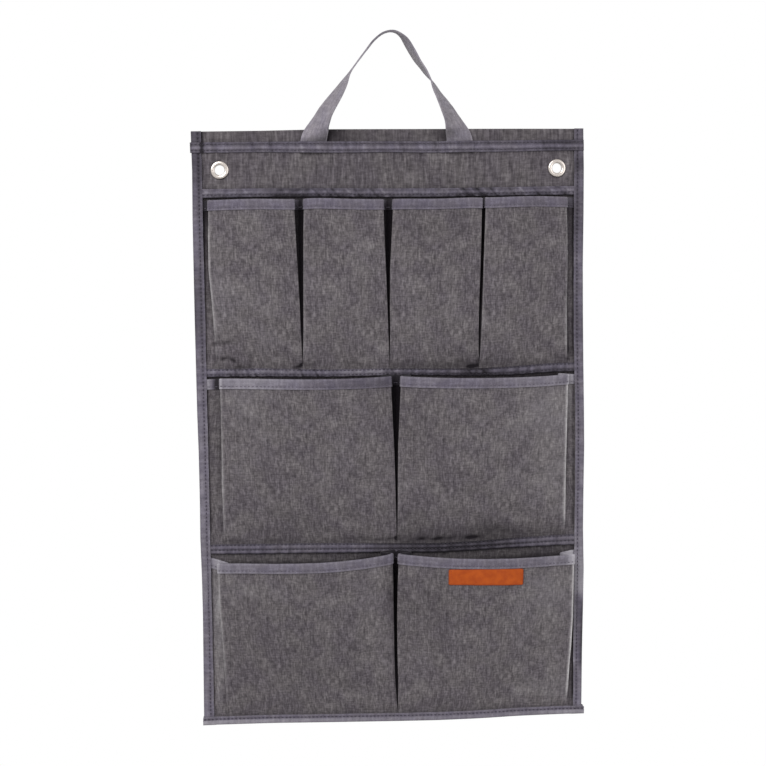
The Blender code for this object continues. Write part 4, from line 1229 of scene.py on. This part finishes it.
near = clamp((np.abs(down) - (half_z - TAG_CORNER)) / TAG_CORNER)
pull = 1 - TAG_CORNER * (1 - np.sqrt(1 - near ** 2)) / half_x
# Its rim and both sewn lines are pressed in, and its right end stands out a little.
rim = np.minimum(half_x - np.abs(along), half_z - np.abs(down))
sewn = hump(half_x - np.abs(along) - 0.0022, 0.0009)
stand = stand + 0.0002 * sewn + 0.00025 * hump(rim, 0.0006)
stand = stand - 0.0006 * clamp((along - 0.034) / 0.006) ** 2
points = together(sum(TAG_SIDES) / 2 + along * pull, stand, level)
tag = closed_sheet("lower_pocket_2_tag_strip", points, together(along, down), TAG_WALL, leather,
                   shading_and_tone=0.75 * hump(rim, 0.0007), flip=True)
fasten(tag, "tag_orange", "lower_pocket_2_tag", body="lower_pocket_2")

# Orange thread, a shade darker than the strip.
orange_thread = twisted("orange polyester thread", "8a350b", "b34a12")
lines = [(points[1:-1, end] + (0, -0.00055, 0), (0, -1, 0)) for end in (2, -3)]
sewing = stitches("lower_pocket_2_tag_stitches", lines, orange_thread, pitch=0.0024, length=0.0018,
                  thick=0.0004)
fasten(sewing, "tag_orange", body="lower_pocket_2")

# Studio
# A pale floor under the hung panel, white surroundings, one broad soft light from the front
# and above, and a weaker one from the other side.

pale, tree, shader = material("pale studio floor")
plug(tree, shader, {"Base Color": light("e9e8e6"), "Roughness": 0.9})
FLOOR_HALF = 0.9
FLOOR_LEVEL = -1.0
x, y = FLOOR_HALF * np.array(((-1, 1, 1, -1), (-1, -1, 1, 1)))
solid("floor", together(x, y, FLOOR_LEVEL), np.array([[0, 1, 2, 3]]), pale)

world = bpy.data.worlds.new("white surroundings")
world.use_nodes = True
bpy.context.scene.world = world
tree = world.node_tree
seen = add(tree, "ShaderNodeLightPath")
either = add(tree, "ShaderNodeMath", {
    0: seen.outputs["Is Camera Ray"], 1: seen.outputs["Is Glossy Ray"],
}, operation="MAXIMUM")
either = add(tree, "ShaderNodeMath", {
    0: either, 1: seen.outputs["Is Transmission Ray"],
}, operation="MAXIMUM")
white = add(tree, "ShaderNodeBackground", {"Color": light("ffffff"), "Strength": 1.0})
fill = add(tree, "ShaderNodeBackground", {"Color": light("ffffff"), "Strength": 0.38})
mixed = add(tree, "ShaderNodeMixShader", {0: either, 1: fill, 2: white})
plug(tree, tree.nodes["World Output"], {"Surface": mixed})


def set_up(name, data, right, up, back, place):
    """Put a lamp or a camera at a place, with the directions to its right, up and behind it."""
    made = bpy.data.objects.new(name, data)
    bpy.context.collection.objects.link(made)
    columns = np.stack((right, up, back, place), axis=1)
    made.matrix_world = Matrix([*columns.tolist(), (0, 0, 0, 1)])
    return made


def lamp(name, place, target, size, power):
    """A square area light of the given size at a place, facing a target."""
    data = bpy.data.lights.new(name, "AREA")
    data.size = size
    data.energy = power
    back = unit(np.array(place) - np.array(target))
    right = unit(np.cross((0, 0, 1), back))
    set_up(name, data, right, np.cross(back, right), back, place)


lamp("key light", (-0.8, -1.5, 0.8), (0, 0, -0.25), 1.2, 25)
lamp("fill light", (1.2, -1.3, 0.1), (0, 0, -0.25), 1.2, 7)

# Camera
# Where the photograph was taken from, found from the panel's four corners: 1.45 m away, a little
# left of the middle and above it.

IMAGE = 766
FOCAL_PIXELS = 1400
SENSOR = 36
CAMERA_PLACE = (-0.105, -1.445, -0.095)
azimuth, elevation, roll = math.radians(-3.81), math.radians(4.92), math.radians(-0.61)
data = bpy.data.cameras.new("camera")
data.sensor_fit = "HORIZONTAL"
data.sensor_width = SENSOR
data.lens = SENSOR * FOCAL_PIXELS / IMAGE
forward = np.array((
    -math.sin(azimuth) * math.cos(elevation), math.cos(azimuth) * math.cos(elevation),
    -math.sin(elevation),
))
right = np.array((math.cos(azimuth), math.sin(azimuth), 0))
up = np.cross(right, forward)
bpy.context.scene.camera = set_up(
    "camera", data, math.cos(roll) * right + math.sin(roll) * up,
    math.cos(roll) * up - math.sin(roll) * right, -forward, CAMERA_PLACE,
)
bpy.context.scene.view_settings.view_transform = "Standard"

bpy.context.view_layer.update()
